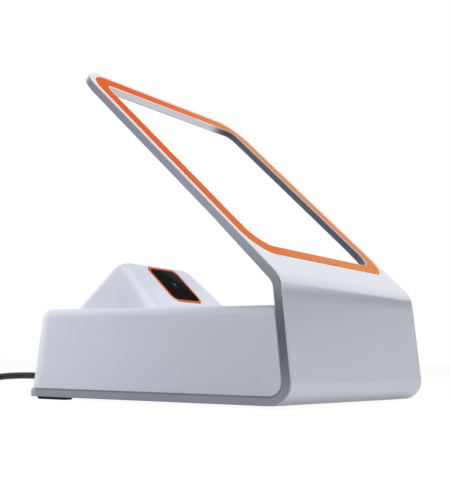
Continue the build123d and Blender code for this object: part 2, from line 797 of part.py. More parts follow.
def make_relief():
    """The strain relief: a ribbed sleeve with flanges seated on both sides of the leaning wall."""
    inner_end = inner_wall_y - wall_y
    sleeve = taper(exit_plane, relief_root_radius, relief_tip_radius, 0, relief_length)
    pitch = (relief_length - relief_flange_thickness) / (relief_groove_count + 1)
    for index in range(relief_groove_count):
        middle = relief_flange_thickness + (index + 1) * pitch
        share = middle / relief_length
        radius = relief_root_radius + (relief_tip_radius - relief_root_radius) * share - relief_groove_depth
        low = middle - relief_groove_width / 2
        high = middle + relief_groove_width / 2
        sleeve -= rod(exit_plane, 0, 0, relief_root_radius, low, high) - rod(
            exit_plane, 0, 0, radius, low, high)
    reach = relief_flange_radius
    sleeve += rod(exit_plane, 0, 0, relief_root_radius, inner_end, 0)
    collar = rod(exit_plane, 0, 0, relief_flange_radius, inner_end - reach, reach)
    plate = Rectangle(3 * reach, 3 * reach)
    outside = slab(rear_plane, plate, 0, relief_flange_thickness)
    inside = slab(rear_plane, plate, -base_wall - relief_flange_thickness, -base_wall)
    relief = sleeve + (collar & outside) + (collar & inside)
    return relief - rod(exit_plane, 0, 0, cable_radius, inner_end - reach, relief_length)


def make_clamp():
    """The clamp that holds the cable down on the bottom plate, and its screw."""
    half = cable_radius + clamp_wall
    rise = cable_rise - floor_height
    ear = half + clamp_ear_length
    plane = Plane(origin=(cable_side, clamp_y, floor_height), x_dir=(-1, 0, 0), z_dir=(0, 1, 0))
    profile = Pos(0, rise / 2) * Rectangle(2 * half, rise) + Pos(0, rise) * Circle(half)
    profile += Pos(-ear / 2, clamp_wall / 2) * Rectangle(ear, clamp_wall)
    profile -= Pos(0, rise) * Circle(cable_radius)
    clamp = slab(plane, profile, -clamp_width / 2, clamp_width / 2)
    clamp -= rod(floor, clamp_screw_x, clamp_y, small_screw_radius, 0, clamp_wall)
    ear_top = Plane(origin=(0, 0, floor_height + clamp_wall))
    return {"lead_clamp": clamp, "clamp_screw": small_screw(ear_top, clamp_screw_x, clamp_y)}


def make_leads():
    """The cable from its connector to its plug, as inner lead, free stretch, coil and end."""
    edges, coil, tie = make_coil()
    lead_high = board_top + connector_height / 2
    rise_y = clamp_y - clamp_width / 2 - inner_rise_margin
    inner = [(cable_side, wall_y, cable_rise), (cable_side, rise_y, cable_rise),
             (cable_side, rise_y - inner_rise_length, lead_high), (cable_side, board_rear, lead_high)]
    start = (cable_side, wall_y + relief_length, cable_rise)
    free = [start, *route_points, tuple(edges[0] @ 0)]
    end = [tuple(edges[-1] @ 1), *end_route_points]
    return {
        "inner_lead": lead("inner_lead", inner, 0),
        "cable": lead("cable", free, relief_length),
        "cable_coil": coil,
        "coil_tie": tie,
        "cable_end": lead("cable_end", end, 0),
    }


def make_plug():
    """The plug: moulded body with a boot, metal shell with two square holes, and the tongue in it."""
    plane = Plane(origin=end_route_points[-1], x_dir=(0, -1, 0), z_dir=(-1, 0, 0))
    body_end = plug_boot_length + plug_body_length
    boot = taper(plane, plug_boot_tip_radius, plug_boot_radius, 0, plug_boot_length)
    body = block(plane, 0, 0, plug_body_width, plug_body_height, plug_boot_length, body_end, plug_body_radius)
    ends = [plane.from_local_coords((0, plug_body_height / 2, z)) for z in (plug_boot_length, body_end)]
    body = chamfer(nearest_edges(body, ends), plug_body_edge)
    shell_end = body_end + plug_shell_reach
    shell_start = shell_end - plug_shell_length
    body -= block(plane, 0, 0, plug_shell_width, plug_shell_height, shell_start, body_end, plug_shell_radius)
    shell = block(plane, 0, 0, plug_shell_width, plug_shell_height, shell_start, shell_end, plug_shell_radius)
    inner_width = plug_shell_width - 2 * plug_shell_wall
    inner_height = plug_shell_height - 2 * plug_shell_wall
    shell -= block(plane, 0, 0, inner_width, inner_height, shell_start, shell_end)
    hole_z = shell_end - plug_hole_margin
    for side in (-1, 1):
        shell -= block(plane, side * plug_hole_half, 0, plug_hole_side, plug_shell_height,
                       hole_z - plug_hole_side / 2, hole_z + plug_hole_side / 2)
    tongue_y = inner_height / 2 - plug_tongue_thickness / 2
    tongue = block(plane, 0, tongue_y, inner_width - 2 * plug_tongue_clearance, plug_tongue_thickness,
                   shell_start, shell_end - plug_tongue_clearance)
    return {"plug_body": body + boot, "plug_shell": shell, "plug_tongue": tongue}


def make_feet():
    """The rubber feet, let into pockets of the bottom plate and tapered towards the table."""
    feet = {}
    for name, (x, y, size_x, size_y) in foot_places.items():
        foot = block(table, x, y, size_x, size_y, 0, foot_height + foot_pocket, foot_corner_radius)
        low = [(x, y - size_y / 2, 0)]
        feet[name] = chamfer(nearest_edges(foot, low), foot_taper)
    return feet


def make_screws():
    """The screws of the base housing, in the bottom plate, and of the head, under the base's top."""
    seat = Plane(origin=(0, 0, foot_height + screw_head_height + screw_clearance), x_dir=(1, 0, 0),
                 z_dir=(0, 0, -1))
    return {
        "base_screws": group(large_screw(seat, x, -y) for x, y in boss_places),
        "head_screws": group(large_screw(ceiling, x, -y) for x, y in head_boss_places),
    }


def main():
    """Builds every piece and writes one file for each."""
    core, cover, ring = split_band()
    pieces = {"band_core": core, "band_cover": cover, "frame_ring": ring,
              "base_housing": make_base(), "head_housing": make_head(), "strain_relief": make_relief()}
    for made in (make_window(), make_engine(), make_flex(), make_boards(), make_clamp(), make_leads(),
                 make_plug(), make_feet(), make_screws()):
        pieces.update(made)
    os.makedirs("parts", exist_ok=True)
    for name, solid in pieces.items():
        export_step(solid, f"parts/{name}.step")
        print(name, len(solid.solids()), round(solid.volume, 1))


main()
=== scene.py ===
import json
import logging
import math
from collections.abc import Callable, Iterator
from contextlib import contextmanager
from dataclasses import dataclass, field
from enum import Enum

import bmesh
import bpy
from mathutils import Matrix, Vector


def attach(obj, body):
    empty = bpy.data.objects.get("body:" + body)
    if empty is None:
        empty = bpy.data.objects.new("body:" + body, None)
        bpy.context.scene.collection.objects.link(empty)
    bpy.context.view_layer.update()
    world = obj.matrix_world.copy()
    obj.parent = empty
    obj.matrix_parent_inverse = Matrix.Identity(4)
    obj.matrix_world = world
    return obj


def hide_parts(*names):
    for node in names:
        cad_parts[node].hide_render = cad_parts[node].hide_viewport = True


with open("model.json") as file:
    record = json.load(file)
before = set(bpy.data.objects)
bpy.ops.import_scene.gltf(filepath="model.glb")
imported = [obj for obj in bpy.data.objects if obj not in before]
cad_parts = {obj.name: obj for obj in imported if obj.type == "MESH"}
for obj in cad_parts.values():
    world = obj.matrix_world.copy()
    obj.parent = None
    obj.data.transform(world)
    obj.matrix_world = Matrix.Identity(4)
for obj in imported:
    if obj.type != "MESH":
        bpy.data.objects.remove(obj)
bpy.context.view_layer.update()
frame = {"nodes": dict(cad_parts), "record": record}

LOG = logging.getLogger("counter_scanner")
MM = 0.001
EASE_SHARE = 0.3
CUT_REACH = 1e-7
HARD_ANGLE = math.radians(32.0)
Colour = tuple[float, float, float]
Loop = list[Vector]


def linear(red: int, green: int, blue: int) -> Colour:
    """Turns a colour of 0 to 255 into the linear values that shaders take.

    Args:
        red: Red, 0 to 255.
        green: Green, 0 to 255.
        blue: Blue, 0 to 255.

    Returns:
        The three linear values.
    """
    shares = [value / 255 for value in (red, green, blue)]
    return tuple(s / 12.92 if s <= 0.04045 else ((s + 0.055) / 1.055) ** 2.4 for s in shares)


# ---------------------------------------------------------------- shader parts


class NodeDesk:
    """Adds and joins the nodes of one tree."""

    def __init__(self, tree: bpy.types.NodeTree) -> None:
        """Starts on a tree.

        Args:
            tree: The node tree to work in.
        """
        self.tree = tree

    def add(self, kind: str, inputs: dict | None = None, **settings) -> bpy.types.Node:
        """Adds a node.

        Args:
            kind: The node's type name.
            inputs: Values, or sockets to join, by the input's name or number.
            **settings: Attributes of the node.

        Returns:
            The new node.
        """
        node = self.tree.nodes.new(kind)
        for name, value in settings.items():
            setattr(node, name, value)
        for key, value in (inputs or {}).items():
            if isinstance(value, bpy.types.NodeSocket):
                self.tree.links.new(value, node.inputs[key])
            else:
                node.inputs[key].default_value = value
        return node

    def join(self, out: bpy.types.NodeSocket, into: bpy.types.NodeSocket) -> None:
        """Joins two sockets."""
        self.tree.links.new(out, into)

    def maths(self, operation: str, first, second=0.0) -> bpy.types.NodeSocket:
        """Adds a Math node and returns its result."""
        return self.add("ShaderNodeMath", {0: first, 1: second}, operation=operation).outputs[0]

    def swing(self, value: bpy.types.NodeSocket, amount) -> bpy.types.NodeSocket:
        """Turns a value of 0 to 1 into a swing round 0."""
        return self.maths("MULTIPLY", self.maths("SUBTRACT", value, 0.5), amount)

    def shaded(self, tone: bpy.types.NodeSocket, level: bpy.types.NodeSocket) -> bpy.types.NodeSocket:
        """Scales a colour's lightness by a level."""
        return self.add("ShaderNodeHueSaturation", {"Color": tone, "Value": level}).outputs["Color"]

    def mixed(self, share: bpy.types.NodeSocket, tone: bpy.types.NodeSocket, colour: Colour) -> bpy.types.NodeSocket:
        """Mixes a plain colour into a tone by a share."""
        return self.add("ShaderNodeMix", {0: share, 6: tone, 7: (*colour, 1)}, data_type="RGBA").outputs[2]

    def bump(self, height: bpy.types.NodeSocket, depth: float, strength: float) -> bpy.types.NodeSocket:
        """Turns a height into a normal, with its depth in millimetres."""
        values = {"Strength": strength, "Distance": depth * MM, "Height": height}
        return self.add("ShaderNodeBump", values).outputs[0]

    def vector(self, operation: str, first, second) -> bpy.types.Node:
        """Adds a Vector Math node."""
        return self.add("ShaderNodeVectorMath", {0: first, 1: second}, operation=operation)

    def ramp(self, factor, stops: tuple[tuple[float, float], ...]) -> bpy.types.NodeSocket:
        """Maps a factor through a grey ramp.

        Args:
            factor: The socket that drives it.
            stops: Places and their grey values.

        Returns:
            The ramp's colour socket.
        """
        node = self.add("ShaderNodeValToRGB", {0: factor})
        elements = node.color_ramp.elements
        while len(elements) < len(stops):
            elements.new(0.5)
        for element, (place, grey) in zip(elements, stops):
            element.position = place
            element.color = (grey, grey, grey, 1)
        return node.outputs[0]


def blank_desk(owner: bpy.types.ID) -> NodeDesk:
    """Empties the node tree of a material or world and starts on it."""
    owner.use_nodes = True
    owner.node_tree.nodes.clear()
    return NodeDesk(owner.node_tree)


def source(shader: bpy.types.Node, label: str) -> bpy.types.NodeSocket:
    """Returns the socket that feeds one of a shader's inputs."""
    return shader.inputs[label].links[0].from_socket


def blend(desk: NodeDesk, shader: bpy.types.Node, *layers: tuple[bpy.types.NodeSocket, Colour]) -> None:
    """Mixes plain colours into a shader's colour, one after the other.

    Args:
        desk: The material's desk.
        shader: The shader.
        *layers: The share and the colour of each.
    """
    tone = source(shader, "Base Color")
    for share, colour in layers:
        tone = desk.mixed(share, tone, colour)
    desk.join(tone, shader.inputs["Base Color"])


def node_group(name: str, kind: str, inputs: dict[str, str], outputs: dict[str, str]) -> tuple:
    """Makes an empty node group with named sockets.

    Args:
        name: The group's name.
        kind: The tree's type.
        inputs: Socket types by the inputs' names.
        outputs: Socket types by the outputs' names.

    Returns:
        The group, its desk, its input node and its output node.
    """
    group = bpy.data.node_groups.new(name, kind)
    for way, sockets in (("INPUT", inputs), ("OUTPUT", outputs)):
        for label, sort in sockets.items():
            group.interface.new_socket(label, in_out=way, socket_type="NodeSocket" + sort)
    desk = NodeDesk(group)
    return group, desk, desk.add("NodeGroupInput"), desk.add("NodeGroupOutput")


class SharedEffects:
    """The shader groups that several finishes use, each built once."""

    def __init__(self) -> None:
        """Builds every group."""
        self.grain = self._grain()
        self.drift = self._drift()
        self.handling = self._handling()

    def _grain(self) -> bpy.types.NodeTree:
        """The fine spark-eroded grain of a mould, as a height."""
        group, desk, given, out = node_group("mould_grain", "ShaderNodeTree", {"Vector": "Vector", "Scale": "Float"},
                                             {"Height": "Float"})
        place = {"Vector": given.outputs["Vector"], "Scale": given.outputs["Scale"]}
        noise = desk.add("ShaderNodeTexNoise", {**place, "Detail": 3.0, "Roughness": 0.6})
        cells = desk.add("ShaderNodeTexVoronoi", place, feature="SMOOTH_F1")
        desk.join(desk.maths("ADD", desk.maths("MULTIPLY", noise.outputs["Fac"], 0.6),
                             desk.maths("MULTIPLY", cells.outputs["Distance"], 0.4)), out.inputs["Height"])
        return group

    def _drift(self) -> bpy.types.NodeTree:
        """A colour that drifts a little, as a moulded or painted surface does."""
        group, desk, given, out = node_group(
            "tone_drift", "ShaderNodeTree",
            {"Vector": "Vector", "Color": "Color", "Amount": "Float", "Scale": "Float"}, {"Color": "Color"})
        noise = desk.add("ShaderNodeTexNoise", {"Vector": given.outputs["Vector"], "Scale": given.outputs["Scale"],
                                                "Detail": 2.0})
        level = desk.maths("ADD", desk.swing(noise.outputs["Fac"], given.outputs["Amount"]), 1.0)
        desk.join(desk.shaded(given.outputs["Color"], level), out.inputs["Color"])
        return group

    def _handling(self) -> bpy.types.NodeTree:
        """Faint wiped patches in a roughness."""
        group, desk, given, out = node_group(
            "handling_marks", "ShaderNodeTree", {"Vector": "Vector", "Base": "Float", "Amount": "Float"},
            {"Roughness": "Float"})
        stretch = desk.add("ShaderNodeMapping", {"Vector": given.outputs["Vector"], "Scale": (30.0, 55.0, 30.0)})
        patches = desk.add("ShaderNodeTexNoise", {"Vector": stretch.outputs[0], "Scale": 1.0, "Detail": 5.0})
        swing = desk.swing(patches.outputs["Fac"], given.outputs["Amount"])
        desk.join(desk.maths("ADD", given.outputs["Base"], swing), out.inputs["Roughness"])
        return group


@dataclass(frozen=True)
class Finish:
    """What every finish has: its name, colour, roughness and the depth and scale of its grain."""

    name: str
    colour: Colour
    roughness: float = 0.45
    metallic: float = 0.0
    grain_depth: float = 0.02
    grain_scale: float = 2200.0
    drift: float = 0.05
    drift_scale: float = 18.0
    wear: float = 0.08
    coat: float = 0.0
    coat_roughness: float = 0.1
    specular: float = 0.5
    sheen: float = 0.0
    bump_strength: float = 0.35

    def start(self, effects: SharedEffects) -> tuple:
        """Makes the material with its shader, its drifting colour, roughness and grain.

        Args:
            effects: The shared shader groups.

        Returns:
            The material, its desk, its shader and the object coordinates' socket.
        """
        material = bpy.data.materials.new(self.name)
        material.diffuse_color = (*self.colour, 1)
        desk = blank_desk(material)
        place = desk.add("ShaderNodeTexCoord").outputs["Object"]
        tone = desk.add("ShaderNodeGroup", {"Vector": place, "Color": (*self.colour, 1), "Amount": self.drift,
                                            "Scale": self.drift_scale}, node_tree=effects.drift)
        rough = desk.add("ShaderNodeGroup", {"Vector": place, "Base": self.roughness, "Amount": self.wear},
                         node_tree=effects.handling)
        grain = desk.add("ShaderNodeGroup", {"Vector": place, "Scale": self.grain_scale}, node_tree=effects.grain)
        bump = desk.bump(grain.outputs["Height"], self.grain_depth, self.bump_strength)
        shader = desk.add("ShaderNodeBsdfPrincipled", {
            "Base Color": tone.outputs["Color"], "Roughness": rough.outputs["Roughness"],
            "Normal": bump, "Metallic": self.metallic, "Specular IOR Level": self.specular,
            "Coat Weight": self.coat, "Coat Roughness": self.coat_roughness, "Sheen Weight": self.sheen})
        desk.add("ShaderNodeOutputMaterial", {0: shader.outputs[0]})
        return material, desk, shader, place

    def build(self, effects: SharedEffects) -> bpy.types.Material:
        """Makes the finish's material."""
        return self.start(effects)[0]


@dataclass(frozen=True)
class StreakedFinish(Finish):
    """A metal with the fine streaks that drawing or brushing leaves along one axis."""

    stretch: Colour = (40.0, 2600.0, 2600.0)
    contrast: float = 0.16

    def build(self, effects: SharedEffects) -> bpy.types.Material:
        """Adds the streaks to the roughness and the colour."""
        material, desk, shader, place = self.start(effects)
        mapped = desk.add("ShaderNodeMapping", {"Vector": place, "Scale": self.stretch})
        lines = desk.add("ShaderNodeTexNoise", {"Vector": mapped.outputs[0], "Scale": 1.0, "Detail": 3.0})
        swing = desk.swing(lines.outputs["Fac"], self.contrast)
        desk.join(desk.maths("ADD", source(shader, "Roughness"), swing), shader.inputs["Roughness"])
        tone = desk.shaded(source(shader, "Base Color"), desk.maths("ADD", 1.0, swing))
        desk.join(tone, shader.inputs["Base Color"])
        return material


@dataclass(frozen=True)
class PaintedLightFinish(Finish):
    """A finish that passes into a second one along a direction of the object, as a painted gradient of light and
    shade.
    """

    far_colour: Colour = (0.5, 0.5, 0.5)
    far_roughness: float = 0.5
    far_metallic: float = 0.0
    direction: Colour = (1.0, 0.0, 0.0)
    start_at: float = 0.0
    end_at: float = 1.0

    def build(self, effects: SharedEffects) -> bpy.types.Material:
        """Mixes the second colour, roughness and metal in by a share that grows along the direction."""
        material, desk, shader, place = self.start(effects)
        along = desk.vector("DOT_PRODUCT", place, self.direction).outputs["Value"]
        share = desk.add("ShaderNodeMapRange", {0: along, 1: self.start_at, 2: self.end_at},
                         interpolation_type="SMOOTHSTEP").outputs[0]
        blend(desk, shader, (share, self.far_colour))
        for label, near, far in (("Roughness", source(shader, "Roughness"), self.far_roughness),
                                 ("Metallic", self.metallic, self.far_metallic)):
            if near != far:
                desk.join(desk.add("ShaderNodeMix", {0: share, 2: near, 3: far}).outputs[0], shader.inputs[label])
        return material


@dataclass(frozen=True)
class WovenFinish(Finish):
    """A woven strap: threads along it and across it, raised, with a painted highlight that makes their backs lighter.
    """

    threads: float = 1500.0

    def build(self, effects: SharedEffects) -> bpy.types.Material:
        """Adds the weave to the bump and the colour."""
        material, desk, shader, place = self.start(effects)
        warp = desk.add("ShaderNodeTexWave", {"Vector": place, "Scale": self.threads / 20}, bands_direction="Y")
        weft = desk.add("ShaderNodeTexWave", {"Vector": place, "Scale": self.threads / 26, "Distortion": 0.6},
                        bands_direction="DIAGONAL")
        weave = desk.maths("MAXIMUM", warp.outputs["Fac"], desk.maths("MULTIPLY", weft.outputs["Fac"], 0.8))
        # Painted highlight: the colour is lighter where the threads stand higher.
        level = desk.maths("ADD", 0.7, desk.maths("MULTIPLY", weave, 0.7))
        desk.join(desk.shaded(source(shader, "Base Color"), level), shader.inputs["Base Color"])
        desk.join(desk.bump(weave, 0.12, 0.8), shader.inputs["Normal"])
        return material


@dataclass(frozen=True)
class BoardFinish(Finish):
    """A solder mask over tracks and filled copper, with plated holes."""

    track: Colour = linear(40, 122, 74)
    plating: Colour = linear(196, 176, 120)
    pitch: float = 420.0

    def build(self, effects: SharedEffects) -> bpy.types.Material:
        """Mixes the tracks and the holes into the mask."""
        material, desk, shader, place = self.start(effects)
        tracks = desk.add("ShaderNodeTexBrick", {"Vector": place, "Scale": self.pitch, "Mortar Size": 0.08,
                                                 "Brick Width": 1.7, "Row Height": 0.34, "Color1": (1, 1, 1, 1),
                                                 "Color2": (0.7, 0.7, 0.7, 1), "Mortar": (0, 0, 0, 1)})
        dots = desk.add("ShaderNodeTexVoronoi", {"Vector": place, "Scale": self.pitch * 0.7})
        holes = desk.maths("LESS_THAN", dots.outputs["Distance"], 0.16)
        share = desk.maths("MULTIPLY", tracks.outputs["Color"], 0.7)
        blend(desk, shader, (share, self.track), (holes, self.plating))
        desk.join(holes, shader.inputs["Metallic"])
        desk.join(desk.bump(tracks.outputs["Color"], 0.04, 0.5), shader.inputs["Normal"])
        return material


@dataclass(frozen=True)
class FlexFinish(Finish):
    """A flat lead's film with copper lines along it."""

    lines: float = 160.0
    copper: Colour = linear(214, 150, 84)

    def build(self, effects: SharedEffects) -> bpy.types.Material:
        """Mixes the copper lines into the film."""
        material, desk, shader, place = self.start(effects)
        wave = desk.add("ShaderNodeTexWave", {"Vector": place, "Scale": self.lines}, bands_direction="X")
        mask = desk.ramp(wave.outputs["Fac"], ((0.45, 0.0), (0.6, 1.0)))
        blend(desk, shader, (mask, self.copper))
        desk.join(desk.maths("MULTIPLY", mask, 0.6), shader.inputs["Metallic"])
        return material


@dataclass(frozen=True)
class WindowFinish(Finish):
    """A black window with the camera's lens showing behind it, a painted glint on the lens and a painted reflection
    that makes its upper edge faintly paler.
    """

    middle: Colour = (0.0, 0.03801, 0.06262)
    glint: Colour = linear(150, 178, 200)
    iris: Colour = linear(26, 36, 48)
    sky: Colour = linear(62, 68, 72)
    spot_shift: Colour = (0.0002, 0.0004, 0.0004)
    lens_scale: float = 250.0
    spot_scale: float = 1000.0
    sheen_rise: float = 60.0
    sheen_side: float = 45.0

    def build(self, effects: SharedEffects) -> bpy.types.Material:
        """Draws the lens and its painted glint by their distance from the window's middle, and the painted reflection
        by height and place across.
        """
        material, desk, shader, place = self.start(effects)
        far = desk.vector("DISTANCE", place, self.middle).outputs["Value"]
        lens = desk.ramp(desk.maths("MULTIPLY", far, self.lens_scale), ((0.0, 1.0), (0.5, 0.8), (0.7, 0.0)))
        spot_at = tuple(m + d for m, d in zip(self.middle, self.spot_shift))
        near = desk.vector("DISTANCE", place, spot_at).outputs["Value"]
        spot = desk.ramp(desk.maths("MULTIPLY", near, self.spot_scale), ((0.35, 1.0), (0.75, 0.0)))
        parts = desk.add("ShaderNodeSeparateXYZ", {0: place}).outputs
        rise = desk.maths("MULTIPLY", desk.maths("SUBTRACT", parts["Z"], self.middle[2]), self.sheen_rise)
        sheen = desk.maths("ADD", rise, desk.maths("MULTIPLY", parts["X"], self.sheen_side))
        # Painted reflection on the upper glass, the lens, and a painted glint on the lens, mixed in one after the
        # other.
        blend(desk, shader, (desk.ramp(sheen, ((0.2, 0.0), (1.0, 0.6))), self.sky), (lens, self.iris),
              (spot, self.glint))
        return material


@dataclass(frozen=True)
class ClearFinish(Finish):
    """Clear resin or glass that lets light through."""

    clearness: float = 0.75

    def build(self, effects: SharedEffects) -> bpy.types.Material:
        """Sets the share of light that passes."""
        material, _, shader, _ = self.start(effects)
        shader.inputs["Transmission Weight"].default_value = self.clearness
        return material


FINISHES = (
    Finish("cover_white", linear(226, 230, 239), roughness=0.24, metallic=0.5, grain_depth=0.0005, drift=0.02,
           wear=0.04),
    Finish("housing_white", linear(219, 223, 234), roughness=0.4, grain_depth=0.01, drift=0.03),
    Finish("band_grey", linear(152, 155, 167), roughness=0.14, metallic=0.85, grain_depth=0.002, drift=0.08,
           drift_scale=40.0),
    # Painted light and shade on the opening's top wall: a paler copy of the core's metal that passes into painted
    # shade towards the far corner.
    PaintedLightFinish("opening_silver", linear(226, 230, 238), roughness=0.28, metallic=0.95, grain_depth=0.0008,
                 drift=0.04, far_colour=linear(96, 101, 115), far_roughness=0.5, far_metallic=0.3,
                 direction=(1.0, 0.0, 0.0), start_at=0.037, end_at=0.053),
    Finish("inner_grey", linear(142, 145, 157), roughness=0.46, metallic=0.6, grain_depth=0.004, drift=0.06),
    Finish("end_grey", linear(165, 168, 181), roughness=0.5, metallic=0.2, grain_depth=0.006, drift=0.06),
    # Painted shade on the opening's side walls: a darker copy of the core's metal.
    Finish("opening_dark", linear(96, 101, 115), roughness=0.5, metallic=0.3, grain_depth=0.006, drift=0.1,
           drift_scale=30.0),
    # The white rim round the opening, with painted shade towards the far corner.
    PaintedLightFinish("rim_white", linear(250, 248, 250), roughness=0.3, metallic=0.5, grain_depth=0.001, specular=0.3,
                 far_colour=linear(196, 190, 190), far_roughness=0.6, far_metallic=0.0, direction=(1.0, 0.0, 0.0),
                 start_at=0.038, end_at=0.05),
    Finish("accent_orange", linear(228, 98, 12), roughness=0.42, grain_depth=0.003, drift=0.03, specular=0.02),
    # Painted sheen on the face ring: the orange turns paler along one direction.
    PaintedLightFinish("ring_orange", linear(224, 92, 17), roughness=0.42, grain_depth=0.003, drift=0.03, specular=0.008,
                 far_colour=linear(226, 134, 68), far_roughness=0.36, direction=(0.54, -0.842, 0.344),
                 start_at=-0.01, end_at=0.085),
    WindowFinish("window_black", linear(6, 6, 8), roughness=0.1, grain_depth=0.0, drift=0.02, wear=0.03,
                 specular=0.003),
    ClearFinish("lens_glass", linear(150, 170, 205), roughness=0.03, coat=1.0, coat_roughness=0.02, grain_depth=0.0),
    Finish("engine_black", linear(26, 26, 28), roughness=0.55),
    ClearFinish("lamp_clear", linear(236, 236, 226), roughness=0.12, grain_depth=0.0, clearness=0.6),
    BoardFinish("board_green", linear(24, 92, 52), roughness=0.35),
    StreakedFinish("steel", linear(176, 178, 182), roughness=0.32, metallic=1.0, grain_depth=0.01),
    StreakedFinish("post_brass", linear(196, 164, 98), roughness=0.3, metallic=1.0, stretch=(900.0, 900.0, 2600.0)),
    StreakedFinish("plug_metal", linear(200, 202, 206), roughness=0.22, metallic=1.0, grain_depth=0.004,
                   contrast=0.1),
    Finish("connector_white", linear(225, 222, 212), roughness=0.5),
    FlexFinish("flex_amber", linear(178, 112, 40), roughness=0.4),
    Finish("rubber_black", linear(24, 24, 26), roughness=0.75, grain_depth=0.03),
    Finish("cable_grey", linear(26, 27, 29), roughness=0.36, grain_depth=0.012, drift=0.05),
    WovenFinish("tie_fabric", linear(30, 30, 33), roughness=0.85, sheen=0.3),
)


# ---------------------------------------------------------------- studio


@dataclass
class Studio:
    """The pale floor, the soft lamps and the camera at the photograph's viewing angle."""

    camera_place: Colour = (-0.4522, -0.2849, 0.0201)
    yaw: float = 57.325
    pitch: float = 6.859
    roll: float = 0.926
    lens: float = 73.39
    floor_half: float = 30.0
    world_light: float = 0.13
    world_tint: Colour = (0.94, 0.96, 1.0)
    turn_reach: float = 0.35
    floor_glow: float = 0.88
    floor_tone: float = 0.58
    floor_gloss: float = 0.34
    floor_light: float = 1.08
    right_bands: tuple[tuple[float, float], ...] = ((0.0, 0.62), (0.16, 0.62), (0.18, 0.32), (0.207, 0.0),
                                                    (0.243, 0.14), (0.275, 0.95), (0.45, 0.9), (0.63, 1.0),
                                                    (0.72, 0.35), (1.0, 0.4))
    left_bands: tuple[tuple[float, float], ...] = ((0.0, 0.1), (0.05, 0.12), (0.09, 1.0), (0.16, 1.0), (0.22, 0.85),
                                                   (0.27, 0.7), (0.6, 0.6), (1.0, 0.4))

    def build_camera(self) -> None:
        """Places the camera and makes it the scene's own."""
        data = bpy.data.cameras.new("viewpoint")
        data.lens = self.lens
        data.sensor_width = 36.0
        data.clip_start = 0.01
        data.clip_end = 100.0
        yaw, pitch, roll = (math.radians(a) for a in (self.yaw, self.pitch, self.roll))
        forward = Vector((math.sin(yaw) * math.cos(pitch), math.cos(yaw) * math.cos(pitch), math.sin(pitch)))
        right = Vector((math.cos(yaw), -math.sin(yaw), 0.0))
        up = right.cross(forward)
        right, up = (right * math.cos(roll) + up * math.sin(roll), up * math.cos(roll) - right * math.sin(roll))
        turn = Matrix((right, up, -forward)).transposed()
        camera = new_piece("viewpoint", data)
        camera.matrix_world = Matrix.Translation(self.camera_place) @ turn.to_4x4()
        bpy.context.scene.camera = camera

    def _rays(self, desk: NodeDesk) -> tuple[bpy.types.NodeSocket, bpy.types.NodeSocket]:
        """Is 1 for rays of the camera, of a gloss or through glass, and 1 for the camera's own rays."""
        path = desk.add("ShaderNodeLightPath").outputs
        seen = desk.maths("MAXIMUM", path["Is Camera Ray"], path["Is Glossy Ray"])
        return desk.maths("MAXIMUM", seen, path["Is Transmission Ray"]), path["Is Camera Ray"]

    def build_world(self) -> None:
        """Gives the world a plain light, and a look with soft bands of light and dark for what mirrors it."""
        world = bpy.data.worlds.new("studio_air")
        desk = blank_desk(world)
        seen, camera = self._rays(desk)
        way = desk.add("ShaderNodeSeparateXYZ", {0: desk.add("ShaderNodeTexCoord").outputs["Generated"]})
        left, right = (desk.ramp(way.outputs["Z"], bands) for bands in (self.left_bands, self.right_bands))
        for side in (left, right):
            side.node.color_ramp.interpolation = "EASE"
        turn = desk.add("ShaderNodeMapRange", {0: way.outputs["X"], 1: -self.turn_reach, 2: self.turn_reach},
                        interpolation_type="SMOOTHSTEP")
        bands = desk.add("ShaderNodeMix", {0: turn.outputs[0], 2: left, 3: right}).outputs[0]
        look = desk.maths("MAXIMUM", bands, camera)
        white = desk.add("ShaderNodeBackground", {"Color": (1, 1, 1, 1), "Strength": look})
        soft = desk.add("ShaderNodeBackground", {"Color": (*self.world_tint, 1), "Strength": self.world_light})
        mix = desk.add("ShaderNodeMixShader", {0: seen, 1: soft.outputs[0], 2: white.outputs[0]})
        desk.add("ShaderNodeOutputWorld", {0: mix.outputs[0]})
        bpy.context.scene.world = world

    def build_floor(self) -> None:
        """Lays a pale floor that looks white and keeps the object's shadow."""
        mesh = bpy.data.meshes.new("studio_floor")
        with editing(mesh) as form:
            bmesh.ops.create_grid(form, x_segments=8, y_segments=8, size=self.floor_half)
        floor = new_piece("studio_floor", mesh)
        material = bpy.data.materials.new("studio_floor")
        desk = blank_desk(material)
        seen, camera = self._rays(desk)
        pale = desk.add("ShaderNodeBsdfDiffuse", {"Color": (self.floor_tone,) * 3 + (1,)})
        glow = desk.add("ShaderNodeEmission", {"Color": (1, 1, 1, 1), "Strength": self.floor_light})
        direct = desk.maths("MULTIPLY", camera, self.floor_glow)
        share = desk.maths("MAXIMUM", direct, desk.maths("MULTIPLY", seen, self.floor_gloss))
        mix = desk.add("ShaderNodeMixShader", {0: share, 1: pale.outputs[0], 2: glow.outputs[0]})
        desk.add("ShaderNodeOutputMaterial", {0: mix.outputs[0]})
        floor.data.materials.append(material)

    def lamp(self, name: str, place: Colour, aim: Colour, size: float, power: float,
             mirrored: bool = True) -> None:
        """Hangs one soft square lamp.

        Args:
            name: The lamp's name.
            place: Where it hangs.
            aim: The point that it faces.
            size: The side of its square.
            power: Its power in watts.
            mirrored: Whether glossy surfaces show it.
        """
        data = bpy.data.lights.new(name, "AREA")
        data.size = size
        data.energy = power
        lamp = new_piece(name, data)
        lamp.location = place
        lamp.visible_glossy = mirrored
        lamp.rotation_euler = (Vector(aim) - Vector(place)).to_track_quat("-Z", "Y").to_euler()

